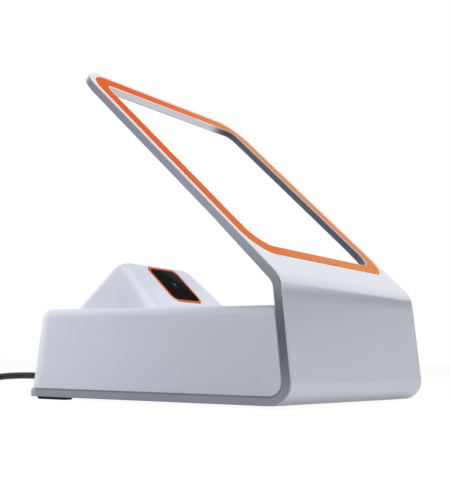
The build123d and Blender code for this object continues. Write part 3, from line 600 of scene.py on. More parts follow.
    def build(self) -> None:
        """Builds the whole studio."""
        self.build_camera()
        self.build_world()
        self.build_floor()
        self.lamp("overhead_lamp", (0.0, -0.35, 1.45), (0.0, 0.0, 0.0), 1.2, 23.0)
        self.lamp("rear_side_lamp", (-0.25, 0.42, 0.13), (-0.05, 0.05, 0.02), 0.22, 1.4, False)
        bpy.context.scene.view_settings.view_transform = "Standard"
        LOG.info("studio built")


# ---------------------------------------------------------------- mesh parts


def heading(angle: float) -> Vector:
    """Returns the unit vector in the side view along an angle, 0 to the rear and 90 up."""
    return Vector((0.0, math.cos(math.radians(angle)), math.sin(math.radians(angle))))


def rounded_outline(half: float, low: float, high: float, low_radius: float, high_radius: float,
                    steps: int = 12) -> list[tuple[float, float]]:
    """Draws a rounded rectangle with one radius for its low corners and one for its high ones.

    Args:
        half: Half its width.
        low: Its lower side.
        high: Its upper side.
        low_radius: Radius of the lower corners.
        high_radius: Radius of the upper corners.
        steps: Steps in each corner's arc.

    Returns:
        Its points, counter-clockwise from the lower right corner.
    """
    points = []
    for x, y, radius, start in ((half, low, low_radius, -90), (half, high, high_radius, 0),
                                (-half, high, high_radius, 90), (-half, low, low_radius, 180)):
        centre_x = x - math.copysign(radius, x)
        centre_y = y + radius if y == low else y - radius
        for index in range(steps + 1):
            angle = math.radians(start + 90 * index / steps)
            points.append((centre_x + radius * math.cos(angle), centre_y + radius * math.sin(angle)))
    return points


def loft(name: str, rows: list[Loop], ring: bool = False) -> bpy.types.Mesh:
    """Joins closed loops of equal length, row by row, into one closed skin.

    Args:
        name: The mesh's name.
        rows: The loops, in millimetres.
        ring: Joins the last row to the first, instead of closing both with faces.

    Returns:
        The mesh, in metres.
    """
    mesh = bpy.data.meshes.new(name)
    with editing(mesh) as form:
        made = [[form.verts.new(point * MM) for point in row] for row in rows]
        count = len(rows[0])
        for lower, upper in zip(made, made[1:] + (made[:1] if ring else [])):
            for index in range(count):
                after = (index + 1) % count
                form.faces.new((lower[index], lower[after], upper[after], upper[index]))
        if not ring:
            form.faces.new(list(reversed(made[0])))
            form.faces.new(made[-1])
        bmesh.ops.remove_doubles(form, verts=form.verts, dist=0.001 * MM)
        bmesh.ops.recalc_face_normals(form, faces=form.faces)
    return mesh


def ease_steps(ease: float, depth: float) -> list[tuple[float, float]]:
    """Lists the insets and levels round an eased upper edge, from the top down."""
    return [(ease, 0.0), (ease * EASE_SHARE, -ease * EASE_SHARE), (0.0, -ease), (0.0, -depth)]


def eased_rows(outer: Callable[[float, float], Loop], inner: Callable[[float, float], Loop], ease: float,
               depth: float) -> list[Loop]:
    """Lists the loops round a ring's section, with eased upper edges.

    Args:
        outer: Draws the outer edge by an inset and a level.
        inner: Draws the inner edge by an inset and a level.
        ease: The width of the eased edges.
        depth: The ring's thickness.

    Returns:
        The loops, from the outer upper edge round to the inner one.
    """
    steps = ease_steps(ease, depth)
    return [outer(*step) for step in steps] + [inner(*step) for step in reversed(steps)]


@contextmanager
def editing(mesh: bpy.types.Mesh) -> Iterator[bmesh.types.BMesh]:
    """Opens a mesh for changes and writes them back."""
    form = bmesh.new()
    form.from_mesh(mesh)
    yield form
    form.to_mesh(mesh)
    form.free()


def new_piece(name: str, data: bpy.types.ID) -> bpy.types.Object:
    """Puts a mesh, curve, lamp or camera into the scene as an object at the origin."""
    piece = bpy.data.objects.new(name, data)
    bpy.context.scene.collection.objects.link(piece)
    return piece


def bake(piece: bpy.types.Object) -> None:
    """Turns a piece and its modifiers into a plain mesh."""
    graph = bpy.context.evaluated_depsgraph_get()
    mesh = bpy.data.meshes.new_from_object(piece.evaluated_get(graph))
    piece.modifiers.clear()
    piece.data = mesh


def settle(piece: bpy.types.Object, weighted: bool = True, angle: float = 38.0) -> bpy.types.Object:
    """Bakes a piece and gives it clean shading.

    Args:
        piece: The piece.
        weighted: Lets large faces lead the shading over their eased edges.
        angle: The angle in degrees past which an edge stays sharp.

    Returns:
        The same piece.
    """
    bake(piece)
    piece.data.shade_smooth()
    piece.data.set_sharp_from_angle(angle=math.radians(angle))
    if weighted:
        piece.modifiers.new("shading", "WEIGHTED_NORMAL").keep_sharp = True
        bake(piece)
    piece.data.name = piece.name
    return piece


def stand_in(piece: bpy.types.Object, slot: str, *nodes: str) -> bpy.types.Object:
    """Lets a finished piece ride on the body and hides the CAD nodes that it stands for.

    Args:
        piece: The piece.
        slot: The record's material slot; not used.
        *nodes: The nodes that it stands for.

    Returns:
        The same piece.
    """
    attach(piece, "root")
    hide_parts(*nodes)
    LOG.info("piece %s built, %d faces", piece.name, len(piece.data.polygons))
    return piece


def lofted(name: str, node: str, rows: list[Loop], finish: bpy.types.Material,
           ring: bool = True) -> bpy.types.Object:
    """Makes a lofted piece that stands for one node.

    Args:
        name: The piece's name.
        node: The node.
        rows: The loops, in millimetres.
        finish: The piece's material.
        ring: Joins the last row to the first.

    Returns:
        The piece.
    """
    piece = new_piece(name, loft(name, rows, ring))
    piece.data.materials.append(finish)
    return stand_in(settle(piece), slot_of(node), node)


def eased_copy(node: str, name: str, ease: float) -> bpy.types.Object:
    """Copies a node's mesh, merges it and eases its hard edges.

    Args:
        node: The node.
        name: The copy's name.
        ease: The width of the eased edges, in millimetres.

    Returns:
        The copy's object.
    """
    mesh = bpy.data.meshes.new(name)
    with editing(mesh) as form:
        form.from_mesh(frame["nodes"][node].data)
        bmesh.ops.remove_doubles(form, verts=form.verts, dist=0.002 * MM)
        bmesh.ops.dissolve_limit(form, angle_limit=math.radians(0.4), verts=form.verts, edges=form.edges)
        hard = [edge for edge in form.edges if len(edge.link_faces) == 2 and edge.calc_face_angle(0) > HARD_ANGLE]
        bmesh.ops.bevel(form, geom=hard, offset=ease * MM, segments=2, profile=0.5, affect="EDGES",
                        clamp_overlap=True)
    return new_piece(name, mesh)


# ---------------------------------------------------------------- geometry node trees


def geometry_tree(name: str, inputs: dict[str, str]) -> tuple:
    """Starts a geometry tree with named inputs.

    Args:
        name: The tree's name.
        inputs: Socket types by the names of the inputs after the geometry.

    Returns:
        The tree, its desk, its input node and its output node.
    """
    return node_group(name, "GeometryNodeTree", {"Geometry": "Geometry", **inputs}, {"Geometry": "Geometry"})


def end_tree(desk: NodeDesk, geometry: bpy.types.NodeSocket, given: bpy.types.Node, out: bpy.types.Node) -> None:
    """Ends a geometry tree in Realize Instances and Set Material."""
    real = desk.add("GeometryNodeRealizeInstances", {0: geometry})
    dressed = desk.add("GeometryNodeSetMaterial", {0: real.outputs[0], "Material": given.outputs["Finish"]})
    desk.join(dressed.outputs[0], out.inputs[0])


def run_tree(piece: bpy.types.Object, tree: bpy.types.NodeTree, values: dict[str, object]) -> None:
    """Runs a geometry tree on a piece and keeps the plain mesh.

    Args:
        piece: The piece.
        tree: The tree.
        values: The inputs' values by the inputs' names.
    """
    modifier = piece.modifiers.new(tree.name, "NODES")
    modifier.node_group = tree
    for item in tree.interface.items_tree:
        if item.item_type == "SOCKET" and item.in_out == "INPUT" and item.name in values:
            modifier[item.identifier] = values[item.name]
    piece.update_tag()
    bpy.context.view_layer.update()
    bake(piece)


class Trees:
    """The geometry trees of this object, each built once."""

    def __init__(self) -> None:
        """Builds every tree."""
        self.bent_strip = self._bent_strip()
        self.fastener_set = self._fastener_set()
        self.strap = self._strap()

    def _bent_strip(self) -> bpy.types.NodeTree:
        """Bends a flat strip along a path: across is X, along is Y, depth under the outer face is -Z."""
        tree, desk, given, out = geometry_tree("bent_strip", {"Path": "Object", "Finish": "Material"})
        place = desk.add("ShaderNodeSeparateXYZ", {0: desk.add("GeometryNodeInputPosition").outputs[0]})
        path = desk.add("GeometryNodeObjectInfo", {"Object": given.outputs["Path"]})
        sample = desk.add("GeometryNodeSampleCurve", {"Curves": path.outputs["Geometry"],
                                                      "Length": place.outputs["Y"]}, mode="LENGTH")
        across = desk.vector("CROSS_PRODUCT", sample.outputs["Tangent"], (1.0, 0.0, 0.0))
        depth = desk.maths("MULTIPLY", place.outputs["Z"], -1.0)
        inward = desk.add("ShaderNodeVectorMath", {0: across.outputs[0], "Scale": depth}, operation="SCALE")
        sideways = desk.add("ShaderNodeCombineXYZ", {"X": place.outputs["X"]})
        moved = desk.vector("ADD", sample.outputs["Position"], inward.outputs[0])
        moved = desk.vector("ADD", moved.outputs[0], sideways.outputs[0])
        bent = desk.add("GeometryNodeSetPosition", {"Geometry": given.outputs["Geometry"],
                                                    "Position": moved.outputs[0]})
        end_tree(desk, bent.outputs[0], given, out)
        return tree

    def _fastener_set(self) -> bpy.types.NodeTree:
        """Puts one fastener on each point, all turned one way."""
        tree, desk, given, out = geometry_tree("fastener_set", {"Fastener": "Object", "Turn": "Vector",
                                                                "Finish": "Material"})
        shape = desk.add("GeometryNodeObjectInfo", {"Object": given.outputs["Fastener"]})
        placed = desk.add("GeometryNodeInstanceOnPoints", {"Points": given.outputs["Geometry"],
                                                           "Instance": shape.outputs["Geometry"],
                                                           "Rotation": given.outputs["Turn"]})
        end_tree(desk, placed.outputs[0], given, out)
        return tree

    def _strap(self) -> bpy.types.NodeTree:
        """Draws a flat strap along a path, with a round-edged section."""
        tree, desk, given, out = geometry_tree("strap", {"Path": "Object", "Section": "Object",
                                                         "Finish": "Material"})
        path = desk.add("GeometryNodeObjectInfo", {"Object": given.outputs["Path"]})
        section = desk.add("GeometryNodeObjectInfo", {"Object": given.outputs["Section"]})
        drawn = desk.add("GeometryNodeCurveToMesh", {"Curve": path.outputs["Geometry"],
                                                     "Profile Curve": section.outputs["Geometry"],
                                                     "Fill Caps": True})
        end_tree(desk, drawn.outputs[0], given, out)
        return tree


def run_line(data: bpy.types.Curve, kind: str, points: Loop) -> bpy.types.Spline:
    """Lays one spline of a kind through points in millimetres."""
    data.dimensions = "3D"
    spline = data.splines.new(kind)
    spline.points.add(len(points) - 1)
    for slot, point in zip(spline.points, points):
        slot.co = (*(point * MM), 1.0)
    return spline


def line_object(name: str, points: Loop, closed: bool = False) -> bpy.types.Object:
    """Makes a helper line for a geometry tree, removed again once it has been read.

    Args:
        name: The line's name.
        points: Its points, in millimetres.
        closed: Joins its last point to its first.

    Returns:
        The line's object, which isn't shown.
    """
    data = bpy.data.curves.new(name, "CURVE")
    run_line(data, "POLY", points).use_cyclic_u = closed
    return new_piece(name, data)


# ---------------------------------------------------------------- the band


@dataclass
class Band:
    """The C-shaped band: its dark core, the thin white cover bent round it and the ring let into its face."""

    width: float = 150.0
    front_height: float = 56.7
    front_lean: float = 6.9
    tilt: float = 42.9
    tilt_length: float = 166.1
    bottom_radius: float = 10.4
    top_radius: float = 12.0
    top_soft_radius: float = 60.0
    top_soft_turn: float = 6.0
    frame_corner_radius: float = 18.0
    cover_thickness: float = 0.5
    cover_under: float = 12.5
    opening_half: float = 62.2
    opening_low: float = 25.0
    opening_high: float = 153.7
    opening_low_radius: float = 12.0
    opening_high_radius: float = 5.0
    rim: float = 0.8
    ring_side: float = 8.8
    ring_high: float = 8.4
    ring_low: float = 6.3
    ring_low_radius: float = 15.5
    ring_high_radius: float = 16.7
    ring_depth: float = 1.6
    ease: float = 0.18
    cover_ease: float = 0.37
    end_trim: float = 0.13
    joint_gap: float = 0.06
    corner_steps: int = 14
    cover_end_radius: float = 0.4
    turn_step: float = 1.5
    straight_end: float = 0.05
    side_share: float = 0.25
    bend_level: float = 60.0
    bend_reach: float = 10.0
    wall_depth: float = 4.8
    side_margin: float = 0.3
    end_margin: float = 0.5
    top_margin: float = 3.0
    upright_share: float = 0.3
    inner_share: float = 0.2
    rear_share: float = 0.12
    plate_level: float = 10.0
    plate_rear: float = 50.0
    corner: Vector = field(default_factory=lambda: Vector((0.0, -79.27, 1.35)))

    @property
    def frame_corner(self) -> Vector:
        """Where the front wall's line meets the tilted face's line."""
        lean = math.tan(math.radians(self.front_lean))
        return self.corner + Vector((0.0, self.front_height * lean, self.front_height))

    def on_face(self, x: float, rise: float, height: float) -> Vector:
        """A point of the tilted face, by its place across, up the tilt and over the face."""
        return self.frame_corner + heading(self.tilt) * rise + heading(self.tilt + 90) * height + Vector((x, 0, 0))

    def path(self) -> Loop:
        """Walks the band's outer line from the cover's end under the plate to the frame's top end.

        Returns:
            The line's points, in millimetres.
        """
        front_angle = 90 - self.front_lean
        first = self.bottom_radius * math.tan(math.radians(180 - front_angle) / 2)
        whole = front_angle - self.tilt
        soft, tight = self.top_soft_turn, whole - self.top_soft_turn
        reach_soft = self.top_soft_radius * math.tan(math.radians(soft) / 2)
        reach_tight = self.top_radius * math.tan(math.radians(tight) / 2)
        share = (reach_soft + reach_tight) / math.sin(math.radians(whole))
        below = reach_soft + share * math.sin(math.radians(tight))
        above = reach_tight + share * math.sin(math.radians(soft))
        wall = self.front_height / math.cos(math.radians(self.front_lean))
        at = self.corner - heading(180) * self.cover_under
        points = [at.copy()]
        way = 180.0
        for run, turn, radius in ((self.cover_under - first, 180 - front_angle, self.bottom_radius),
                                  (wall - first - below, soft, self.top_soft_radius),
                                  (0.0, tight, self.top_radius),
                                  (self.tilt_length - self.end_trim - above, 0, 0)):
            if run:
                points += [at + heading(way) * reach
                           for reach in (self.straight_end, run - self.straight_end, run)]
            at = points[-1].copy()
            steps = round(turn / self.turn_step)
            centre = at + heading(way - 90) * radius
            for index in range(steps):
                angle = way - turn * (index + 1) / steps
                points.append(centre + heading(angle + 90) * radius)
            if steps:
                at = points[-1].copy()
                way -= turn
        return points

    def bend_stations(self) -> list[float]:
        """Works out the lengths along the path at which the strip needs a cut to bend.

        Returns:
            The lengths, in millimetres.
        """
        points, stations, travelled = self.path(), [], 0.0
        for before, after in zip(points, points[1:]):
            travelled += (after - before).length
            stations.append(travelled)
        return stations[:-1]

    def ring_edge(self, inner: bool, shift: float, grow: float) -> list[tuple[float, float]]:
        """Draws the ring's inner or outer edge on the tilted face.

        Args:
            inner: Picks the inner edge.
            shift: Added to the places up the tilt.
            grow: By how much it is larger all round.

        Returns:
            Its points, by places across and up the tilt.
        """
        rim = self.rim + grow
        side, low, high = (0.0,) * 3 if inner else (self.ring_side, self.ring_low, self.ring_high)
        radii = ((self.opening_low_radius + rim, self.opening_high_radius + rim) if inner
                 else (self.ring_low_radius + grow, self.ring_high_radius + grow))
        return rounded_outline(self.opening_half + rim + side, self.opening_low - rim - low + shift,
                               self.opening_high + rim + high + shift, *radii, self.corner_steps)

    def build_cover(self, trees: Trees, finish: bpy.types.Material, margin: bpy.types.Material) -> bpy.types.Object:
        """Cuts the cover flat, with its hole for the ring, and bends it round the band.

        Args:
            trees: The geometry trees.
            finish: The cover's material.
            margin: The material of its eased side edges.

        Returns:
            The cover.
        """
        path = self.path()
        length = sum((b - a).length for a, b in zip(path, path[1:]))
        shift = length + self.end_trim - self.tilt_length
        half, radius = self.width / 2, self.frame_corner_radius

        def outer(inset: float, level: float) -> Loop:
            """The cover's own edge, drawn smaller by an inset, at a level."""
            drawn = rounded_outline(half - inset, inset, length - inset, self.cover_end_radius, radius - inset,
                                    self.corner_steps)
            return [Vector((x, y, level)) for x, y in drawn]

        def hole(inset: float, level: float) -> Loop:
            """The edge of the ring's seat, drawn larger by an inset, at a level."""
            return [Vector((x, y, level)) for x, y in self.ring_edge(False, shift, self.joint_gap + inset)]

        mesh = loft("cover_flat", eased_rows(outer, hole, self.cover_ease, self.cover_thickness), ring=True)
        with editing(mesh) as form:
            for station in self.bend_stations():
                bmesh.ops.bisect_plane(form, geom=[*form.verts, *form.edges, *form.faces], dist=CUT_REACH,
                                       plane_co=(0.0, station * MM, 0.0), plane_no=(0.0, 1.0, 0.0))
        cover = new_piece("band_skin", mesh)
        line = line_object("band_line", path)
        run_tree(cover, trees.bent_strip, {"Path": line, "Finish": finish})
        bpy.data.objects.remove(line)
        cover.data.materials.append(margin)
        for face in cover.data.polygons:
            face.material_index = int(abs(face.normal.x) > self.side_share)
        return stand_in(settle(cover), "cover_white", "band_cover")

    def build_ring(self, finish: bpy.types.Material) -> bpy.types.Object:
        """Builds the ring that is let into the tilted face, with eased edges.

        Args:
            finish: The ring's material.

        Returns:
            The ring.
        """

        def edge(inner: bool, grow: float, level: float) -> Loop:
            """One of the ring's edges on the tilted face, at a level."""
            return [self.on_face(x, y, level) for x, y in self.ring_edge(inner, 0.0, grow)]

        rows = eased_rows(lambda inset, level: edge(False, -self.joint_gap - inset, level),
                          lambda inset, level: edge(True, self.joint_gap + inset, level), self.ease, self.ring_depth)
        return lofted("face_ring", "frame_ring", rows, finish)

    def zone(self, middle: Vector, normal: Vector, up: Vector, along: Vector) -> str:
        """Picks the finish of one of the core's faces, with painted light and shade on the opening's rim and walls.

        Args:
            middle: The face's middle, in millimetres.
            normal: The way that it faces.
            up: The way that the tilted face looks.
            along: The way up the tilt.

        Returns:
            The finish's name.
        """
        place = middle - self.frame_corner
        over, rise = place.dot(up), place.dot(along)
        inside = (abs(place.x) < self.opening_half + self.side_margin
                  and -self.end_margin < rise - self.opening_low
                  and rise - self.opening_high < self.end_margin)
        # Rim faces: white, with painted shade towards the far corner.
        if (middle.z > self.bend_level - self.bend_reach and over > -self.cover_thickness
                and (inside or normal.dot(up) > self.upright_share)):
            return "rim_white"
        # Opening walls: painted light passing into painted shade on the top wall, painted shade on the side walls.
        if (middle.z > self.bend_level and over > -self.wall_depth and inside
                and abs(normal.dot(up)) < self.upright_share):
            top_wall = normal.dot(along) < -0.5 and abs(rise - self.opening_high) < self.top_margin
            return "opening_silver" if top_wall else "opening_dark"
        if normal.y > self.rear_share and middle.z < self.plate_level and middle.y > self.plate_rear:
            return "end_grey"
        return "inner_grey" if abs(normal.x) < self.inner_share else "band_grey"

    def build_core(self, materials: dict[str, bpy.types.Material]) -> bpy.types.Object:
        """Eases the core's hard edges, gives the opening's rim and walls their painted light and shade, and finishes
        the plate's rear end.

        Args:
            materials: The finishes by slot name.

        Returns:
            The core.
        """
        core = eased_copy("band_core", "band_frame", self.ease)
        names = ("band_grey", "rim_white", "opening_silver", "opening_dark", "end_grey", "inner_grey")
        for name in names:
            core.data.materials.append(materials[name])
        up, along = heading(self.tilt + 90), heading(self.tilt)
        lip = (self.frame_corner - up * self.cover_thickness) * MM
        with editing(core.data) as form:
            walls = [face for face in form.faces if face.calc_center_median().z > self.bend_level * MM]
            bmesh.ops.bisect_plane(form, geom=[*form.verts, *form.edges, *walls], dist=CUT_REACH, plane_co=lip,
                                   plane_no=up)
        for face in core.data.polygons:
            face.material_index = names.index(self.zone(face.center / MM, face.normal, up, along))
        settle(core)
        return stand_in(core, "band_grey", "band_core")

    def build(self, trees: Trees, materials: dict[str, bpy.types.Material]) -> None:
        """Builds the band's three pieces."""
        self.build_core(materials)
        self.build_cover(trees, materials["cover_white"], materials["housing_white"])
        # The ring's finish carries a painted sheen.
        self.build_ring(materials["ring_orange"])


# ---------------------------------------------------------------- fasteners


class FastenerSize(Enum):
    """The two sizes of pan-head screw: shank radius, head radius, head height and length."""

    LARGE = (1.5, 2.9, 1.7, 9.0)
    SMALL = (1.0, 1.9, 1.1, 4.6)


@dataclass
class Fasteners:
    """Every screw of the object, as sets of one size that point one way."""

    points_round: int = 32
    thread_pitch: float = 0.62
    thread_share: float = 0.84
    recess_share: float = 0.62
    arm_share: float = 0.2
    seats: tuple[tuple[str, FastenerSize, int, tuple[Colour, ...]], ...] = (
        ("base_screws", FastenerSize.LARGE, -1, ((62.5, -59.27, 3.3), (62.5, 38.93, 3.3))),
        ("head_screws", FastenerSize.LARGE, -1, ((27.0, 36.7, 43.2), (36.0, 48.6, 43.2))),
        ("board_screws", FastenerSize.SMALL, 1, ((51.0, -13.07, 13.65), (51.0, 16.93, 13.65))))
    clamp_seat: Colour = (-42.2, 66.58, 6.85)
    engine_seat: Colour = (16.5, 0.0, -5.6)
    head_form: tuple[tuple[float, float], ...] = ((0.98, 0.0), (1.0, 0.12), (1.0, 0.45), (0.93, 0.74), (0.8, 0.93),
                                                  (0.66, 1.0))

    def _round(self, radius: float, level: float) -> Loop:
        """A circle at a level."""
        count = self.points_round
        return [Vector((radius * math.cos(math.tau * i / count), radius * math.sin(math.tau * i / count), level))
                for i in range(count)]

    def _cross(self, reach: float, arm: float, level: float) -> Loop:
        """A cross at a level, with the same number of points as a circle."""
        points = []
        for index in range(self.points_round):
            angle = math.tau * index / self.points_round
            cosine, sine = abs(math.cos(angle)) + 1e-9, abs(math.sin(angle)) + 1e-9
            radius = max(min(reach / cosine, arm / sine), min(reach / sine, arm / cosine))
            points.append(Vector((radius * math.cos(angle), radius * math.sin(angle), level)))
        return points

    def template(self, size: FastenerSize) -> bpy.types.Object:
        """Models one screw that stands on its head's seat, head up.

        Args:
            size: Its size.

        Returns:
            The screw, to be set on points.
        """
        shank, head, height, length = size.value
        rows = [self._round(shank * 0.35, -length), self._round(shank * 0.8, -length + shank)]
        turns = int((length - 2 * shank) / self.thread_pitch)
        low = -length + shank
        for index in range(turns):
            rows += [self._round(shank * share, low + (index + turn) * self.thread_pitch)
                     for share, turn in ((self.thread_share, 0.15), (1.0, 0.5), (self.thread_share, 0.85))]
        rows.append(self._round(shank, 0.0))
        rows += [self._round(head * reach, height * rise) for reach, rise in self.head_form]
        reach, arm = head * self.recess_share * 0.95, head * self.arm_share
        rows += [self._cross(reach, arm, height), self._cross(reach * 0.6, arm * 0.55, height * 0.35)]
        return new_piece("screw_form_" + size.name.lower(), loft("screw_form", rows))

    def place(self, trees: Trees, template: bpy.types.Object, node: str, places: list[Vector],
              head_way: Vector, finish: bpy.types.Material) -> bpy.types.Object:
        """Sets a screw on each place.

        Args:
            trees: The geometry trees.
            template: The screw.
            node: The node that the set stands for.
            places: The seats of the heads, in millimetres.
            head_way: The way that the heads point.
            finish: The screws' material.

        Returns:
            The set as one piece.
        """
        mesh = bpy.data.meshes.new(node)
        mesh.from_pydata([tuple(p * MM) for p in places], [], [])
        piece = new_piece(node + "_set", mesh)
        turn = head_way.to_track_quat("Z", "Y").to_euler()
        run_tree(piece, trees.fastener_set, {"Fastener": template, "Turn": tuple(turn), "Finish": finish})
        return stand_in(settle(piece, weighted=False, angle=30.0), "steel", node)

    def build(self, trees: Trees, finish: bpy.types.Material) -> None:
        """Builds every set of screws."""
        forms = {size: self.template(size) for size in FastenerSize}
        for node, size, way, seats in self.seats:
            places = [Vector((side * x, y, z)) for side in (-1, 1) for x, y, z in seats]
            self.place(trees, forms[size], node, places, Vector((0, 0, way)), finish)
        small, window = forms[FastenerSize.SMALL], CameraWindow()
        self.place(trees, small, "clamp_screw", [Vector(self.clamp_seat)], Vector((0, 0, 1)), finish)
        x, y, over = self.engine_seat
        self.place(trees, small, "engine_screws", [window.at(side * x, y, over) for side in (-1, 1)], -window.out,
                   finish)
        for form in forms.values():
            bpy.data.objects.remove(form)


# ---------------------------------------------------------------- the camera window


@dataclass
class CameraWindow:
    """The window in the head's front face: its ring, its dark glass and where its middle is."""

    foot: Vector = field(default_factory=lambda: Vector((0.0, 19.7, 45.6)))
    tilt: float = 42.9
    rise: float = 25.0
    width: float = 27.9
    height: float = 28.6
    corner_radius: float = 5.0
    ring_width: float = 1.5
    clearance: float = 0.1
    glass_thickness: float = 1.1
    ring_thickness: float = 1.4
    ease: float = 0.16

    @property
    def out(self) -> Vector:
        """The way that the window faces."""
        return heading(self.tilt + 90)

    def at(self, x: float, y: float, height: float) -> Vector:
        """A point by its place across, up the face and over it."""
        return self.foot + heading(self.tilt) * (self.rise + y) + self.out * height + Vector((x, 0, 0))

    def edge(self, inset: float, level: float) -> Loop:
        """The window's outline, drawn smaller by an inset, at a level over the face."""
        half_width, half_height = self.width / 2 - inset, self.height / 2 - inset
        drawn = rounded_outline(half_width, -half_height, half_height, self.corner_radius - inset,
                                self.corner_radius - inset, 10)
        return [self.at(x, y, level) for x, y in drawn]

    def build(self, materials: dict[str, bpy.types.Material]) -> None:
        """Builds the ring and the glass."""
        rows = eased_rows(self.edge, lambda inset, level: self.edge(self.ring_width - inset, level), self.ease,
                          self.ring_thickness)
        lofted("window_trim", "window_ring", rows, materials["accent_orange"])
        seat = self.ring_width + self.clearance
        rows = [self.edge(seat + inset, level) for inset, level in
                reversed(ease_steps(self.ease, self.glass_thickness))]
        lofted("window_glass", "scan_window", rows, materials["window_black"], ring=False)


# ---------------------------------------------------------------- the lead


@dataclass
class Lead:
    """The free cable on one smooth curve: out of its sleeve, down to the table, into the coil, to its plug."""

    diameter: float = 3.6
    length: float = 1520.0
    exit: Colour = (-50.0, 76.9, 11.2)
    run: tuple[Colour, ...] = ((-50.0, 76.9, 11.2), (-50.0, 90.9, 11.2), (-50.0, 106.0, 11.2),
                               (-50.0, 127.0, 9.6), (-50.0, 147.0, 2.5), (-50.0, 164.4, 2.5))
    coil_centre: tuple[float, float] = (-78.7, 168.0)
    coil_inner_radius: float = 16.7
    coil_pitch: float = 4.8
    layer_height: float = 4.7
    half_turns: tuple[int, ...] = (5, 4, 4, 4)
    low: float = 2.5
    points_per_half: int = 6
    end: tuple[Colour, ...] = ((-52.4, 188.0, 16.6), (-60.0, 205.0, 10.5), (-76.0, 212.0, 4.0), (-88.0, 212.0, 4.0))

    def coil_points(self) -> list[Vector]:
        """Works out the spline's control points on the coil's half turns.

        Returns:
            The points, in millimetres.
        """
        centre_x, centre_y = self.coil_centre
        radius = self.coil_inner_radius + self.half_turns[0] * self.coil_pitch / 2
        count = self.points_per_half
        pull = (6 + 2 * math.cos(math.pi / count)) / 8
        side, z, inward = 1, self.low, True
        start = Vector((centre_x + radius, centre_y, z))
        points = []
        for layer, halves in enumerate(self.half_turns):
            steps = [(-self.coil_pitch / 2 if inward else self.coil_pitch / 2, 0.0)] * halves
            if layer < len(self.half_turns) - 1:
                steps.append((0.0, self.layer_height))
            for growth, climb in steps:
                radius += growth
                z += climb
                stop = Vector((centre_x - side * radius, centre_y, z))
                middle = (start + stop) / 2
                half = (stop - start).length / 2
                for index in range(count):
                    angle = (index + 0.5) * math.pi / count
                    share = (1 - math.cos(angle)) / 2
                    level = start.z + (stop.z - start.z) * share
                    reach = half / pull
                    points.append(Vector((middle.x + side * reach * math.cos(angle),
                                          middle.y + side * reach * math.sin(angle), level)))
                start, side = stop, -side
            inward = not inward
        return points

    def build(self, finish: bpy.types.Material, fittings: list[bpy.types.Object]) -> bpy.types.Object:
        """Lays the cable as one open spline of its own thickness.

        Args:
            finish: The jacket's material.
            fittings: The pieces that sit on it; not used.

        Returns:
            The cable's object.
        """
        points = [Vector(p) for p in self.run] + self.coil_points() + [Vector(p) for p in self.end]
        data = bpy.data.curves.new("lead_line", "CURVE")
        data.bevel_depth = self.diameter / 2 * MM
        data.bevel_resolution = 5
        data.use_fill_caps = True
        data.resolution_u = 6
        spline = run_line(data, "NURBS", points)
        spline.order_u = 3
        spline.use_endpoint_u = True
        data.materials.append(finish)
        lead = new_piece("lead_cable", data)
        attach(lead, "root")
        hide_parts("cable", "cable_coil", "cable_end")
        tuple(v * MM for v in self.exit)
        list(fittings)
        LOG.info("lead built with %d control points", len(points))
        return lead


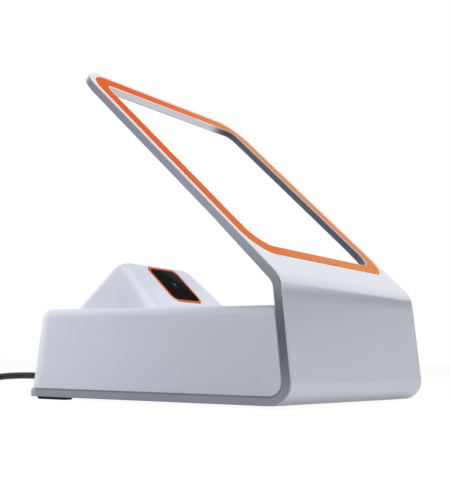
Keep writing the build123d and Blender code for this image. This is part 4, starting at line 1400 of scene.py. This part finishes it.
@dataclass
class LeadFittings:
    """What sits on the lead: the woven tie round the coil and the plug."""

    centre: tuple[float, float] = (-99.99, 9.55)
    middle_y: float = 168.0
    half_width: float = 7.21
    half_height: float = 9.25
    corner: float = 1.95
    tie_width: float = 7.0
    tie_thickness: float = 0.5
    tail: tuple[float, float] = (4.6, 8.4)
    tail_corner: tuple[int, int] = (18, 27)

    def _loop(self, grow: float) -> list[tuple[float, float]]:
        """The tie's line round the bundle, by places across and up, larger by an amount."""
        drawn = rounded_outline(self.half_width + grow, -self.half_height - grow, self.half_height + grow,
                                self.corner + grow, self.corner + grow, 8)
        return [(self.centre[0] + x, self.centre[1] + z) for x, z in drawn]

    def _section(self) -> Loop:
        """The strap's section with round edges, across in X and its thickness in Y."""
        half, thick = self.tie_width / 2, self.tie_thickness / 2
        points = []
        for side, start in ((1, -90), (-1, 90)):
            for index in range(7):
                angle = math.radians(start + 30 * index)
                points.append(Vector((side * (half - thick) + thick * math.cos(angle), thick * math.sin(angle), 0.0)))
        return points

    def build_tie(self, trees: Trees, finish: bpy.types.Material) -> bpy.types.Object:
        """Winds the tie round the coil and lays its free end over itself.

        Args:
            trees: The geometry trees.
            finish: The strap's material.

        Returns:
            The tie.
        """
        section = line_object("tie_section", self._section(), closed=True)
        loop, grown = ([Vector((x, self.middle_y, z)) for x, z in self._loop(grow)]
                       for grow in (0.0, self.tie_thickness))
        start = self.centre[0] + self.tail[0]
        high = self.centre[1] + self.half_height
        corner = grown[slice(*self.tail_corner)]
        tail = [Vector((start, self.middle_y, high + 0.1)),
                Vector((start - 2.0, self.middle_y, high + self.tie_thickness)),
                *corner, corner[-1] - Vector((0.0, 0.0, self.tail[1]))]
        mesh = bpy.data.meshes.new("coil_strap")
        with editing(mesh) as form:
            for name, points, closed in (("tie_loop", loop, True), ("tie_tail", tail, False)):
                line = line_object(name, points, closed)
                part = new_piece(name, bpy.data.meshes.new(name))
                run_tree(part, trees.strap, {"Path": line, "Section": section, "Finish": finish})
                form.from_mesh(part.data)
                for spare in (part, line):
                    bpy.data.objects.remove(spare)
        bpy.data.objects.remove(section)
        tie = new_piece("coil_strap", mesh)
        tie.data.materials.append(finish)
        return stand_in(settle(tie, weighted=False, angle=60.0), "tie_fabric", "coil_tie")

    def build_plug(self, materials: dict[str, bpy.types.Material]) -> list[bpy.types.Object]:
        """Eases the plug's edges.

        Args:
            materials: The finishes by slot name.

        Returns:
            The plug's moulded body and its metal shell.
        """
        made = []
        for node, name, ease in (("plug_body", "plug_grip", 0.3), ("plug_shell", "plug_sleeve", 0.06)):
            slot = slot_of(node)
            piece = eased_copy(node, name, ease)
            piece.data.materials.append(materials[slot])
            made.append(stand_in(settle(piece), slot, node))
        return made

    def build(self, trees: Trees, materials: dict[str, bpy.types.Material]) -> list[bpy.types.Object]:
        """Builds the tie and the plug."""
        return [self.build_tie(trees, materials["tie_fabric"]), *self.build_plug(materials)]


# ---------------------------------------------------------------- the whole object


def dress_frame(materials: dict[str, bpy.types.Material]) -> None:
    """Gives each CAD node that stays the finish of its slot.

    Args:
        materials: The finishes by slot name.
    """
    for name, obj in frame["nodes"].items():
        slot = slot_of(name)
        obj.data.materials.clear()
        obj.data.materials.append(materials[slot])
        LOG.info("node %s dressed in %s", name, slot)


def slot_of(node: str) -> str:
    """Reads a node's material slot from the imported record.

    Args:
        node: The node's name.

    Returns:
        The slot's name.
    """
    return next(part["material_slot"] for part in frame["record"]["subparts"] if part["node"] == node)


def main() -> None:
    """Builds the studio and every piece of the object in order."""
    logging.basicConfig(level=logging.INFO, format="%(name)s: %(message)s")
    effects = SharedEffects()
    materials = {finish.name: finish.build(effects) for finish in FINISHES}
    Studio().build()
    dress_frame(materials)
    trees = Trees()
    Band().build(trees, materials)
    CameraWindow().build(materials)
    Fasteners().build(trees, materials["steel"])
    fittings = LeadFittings().build(trees, materials)
    Lead().build(materials["cable_grey"], fittings)


if __name__ == "__main__":
    main()
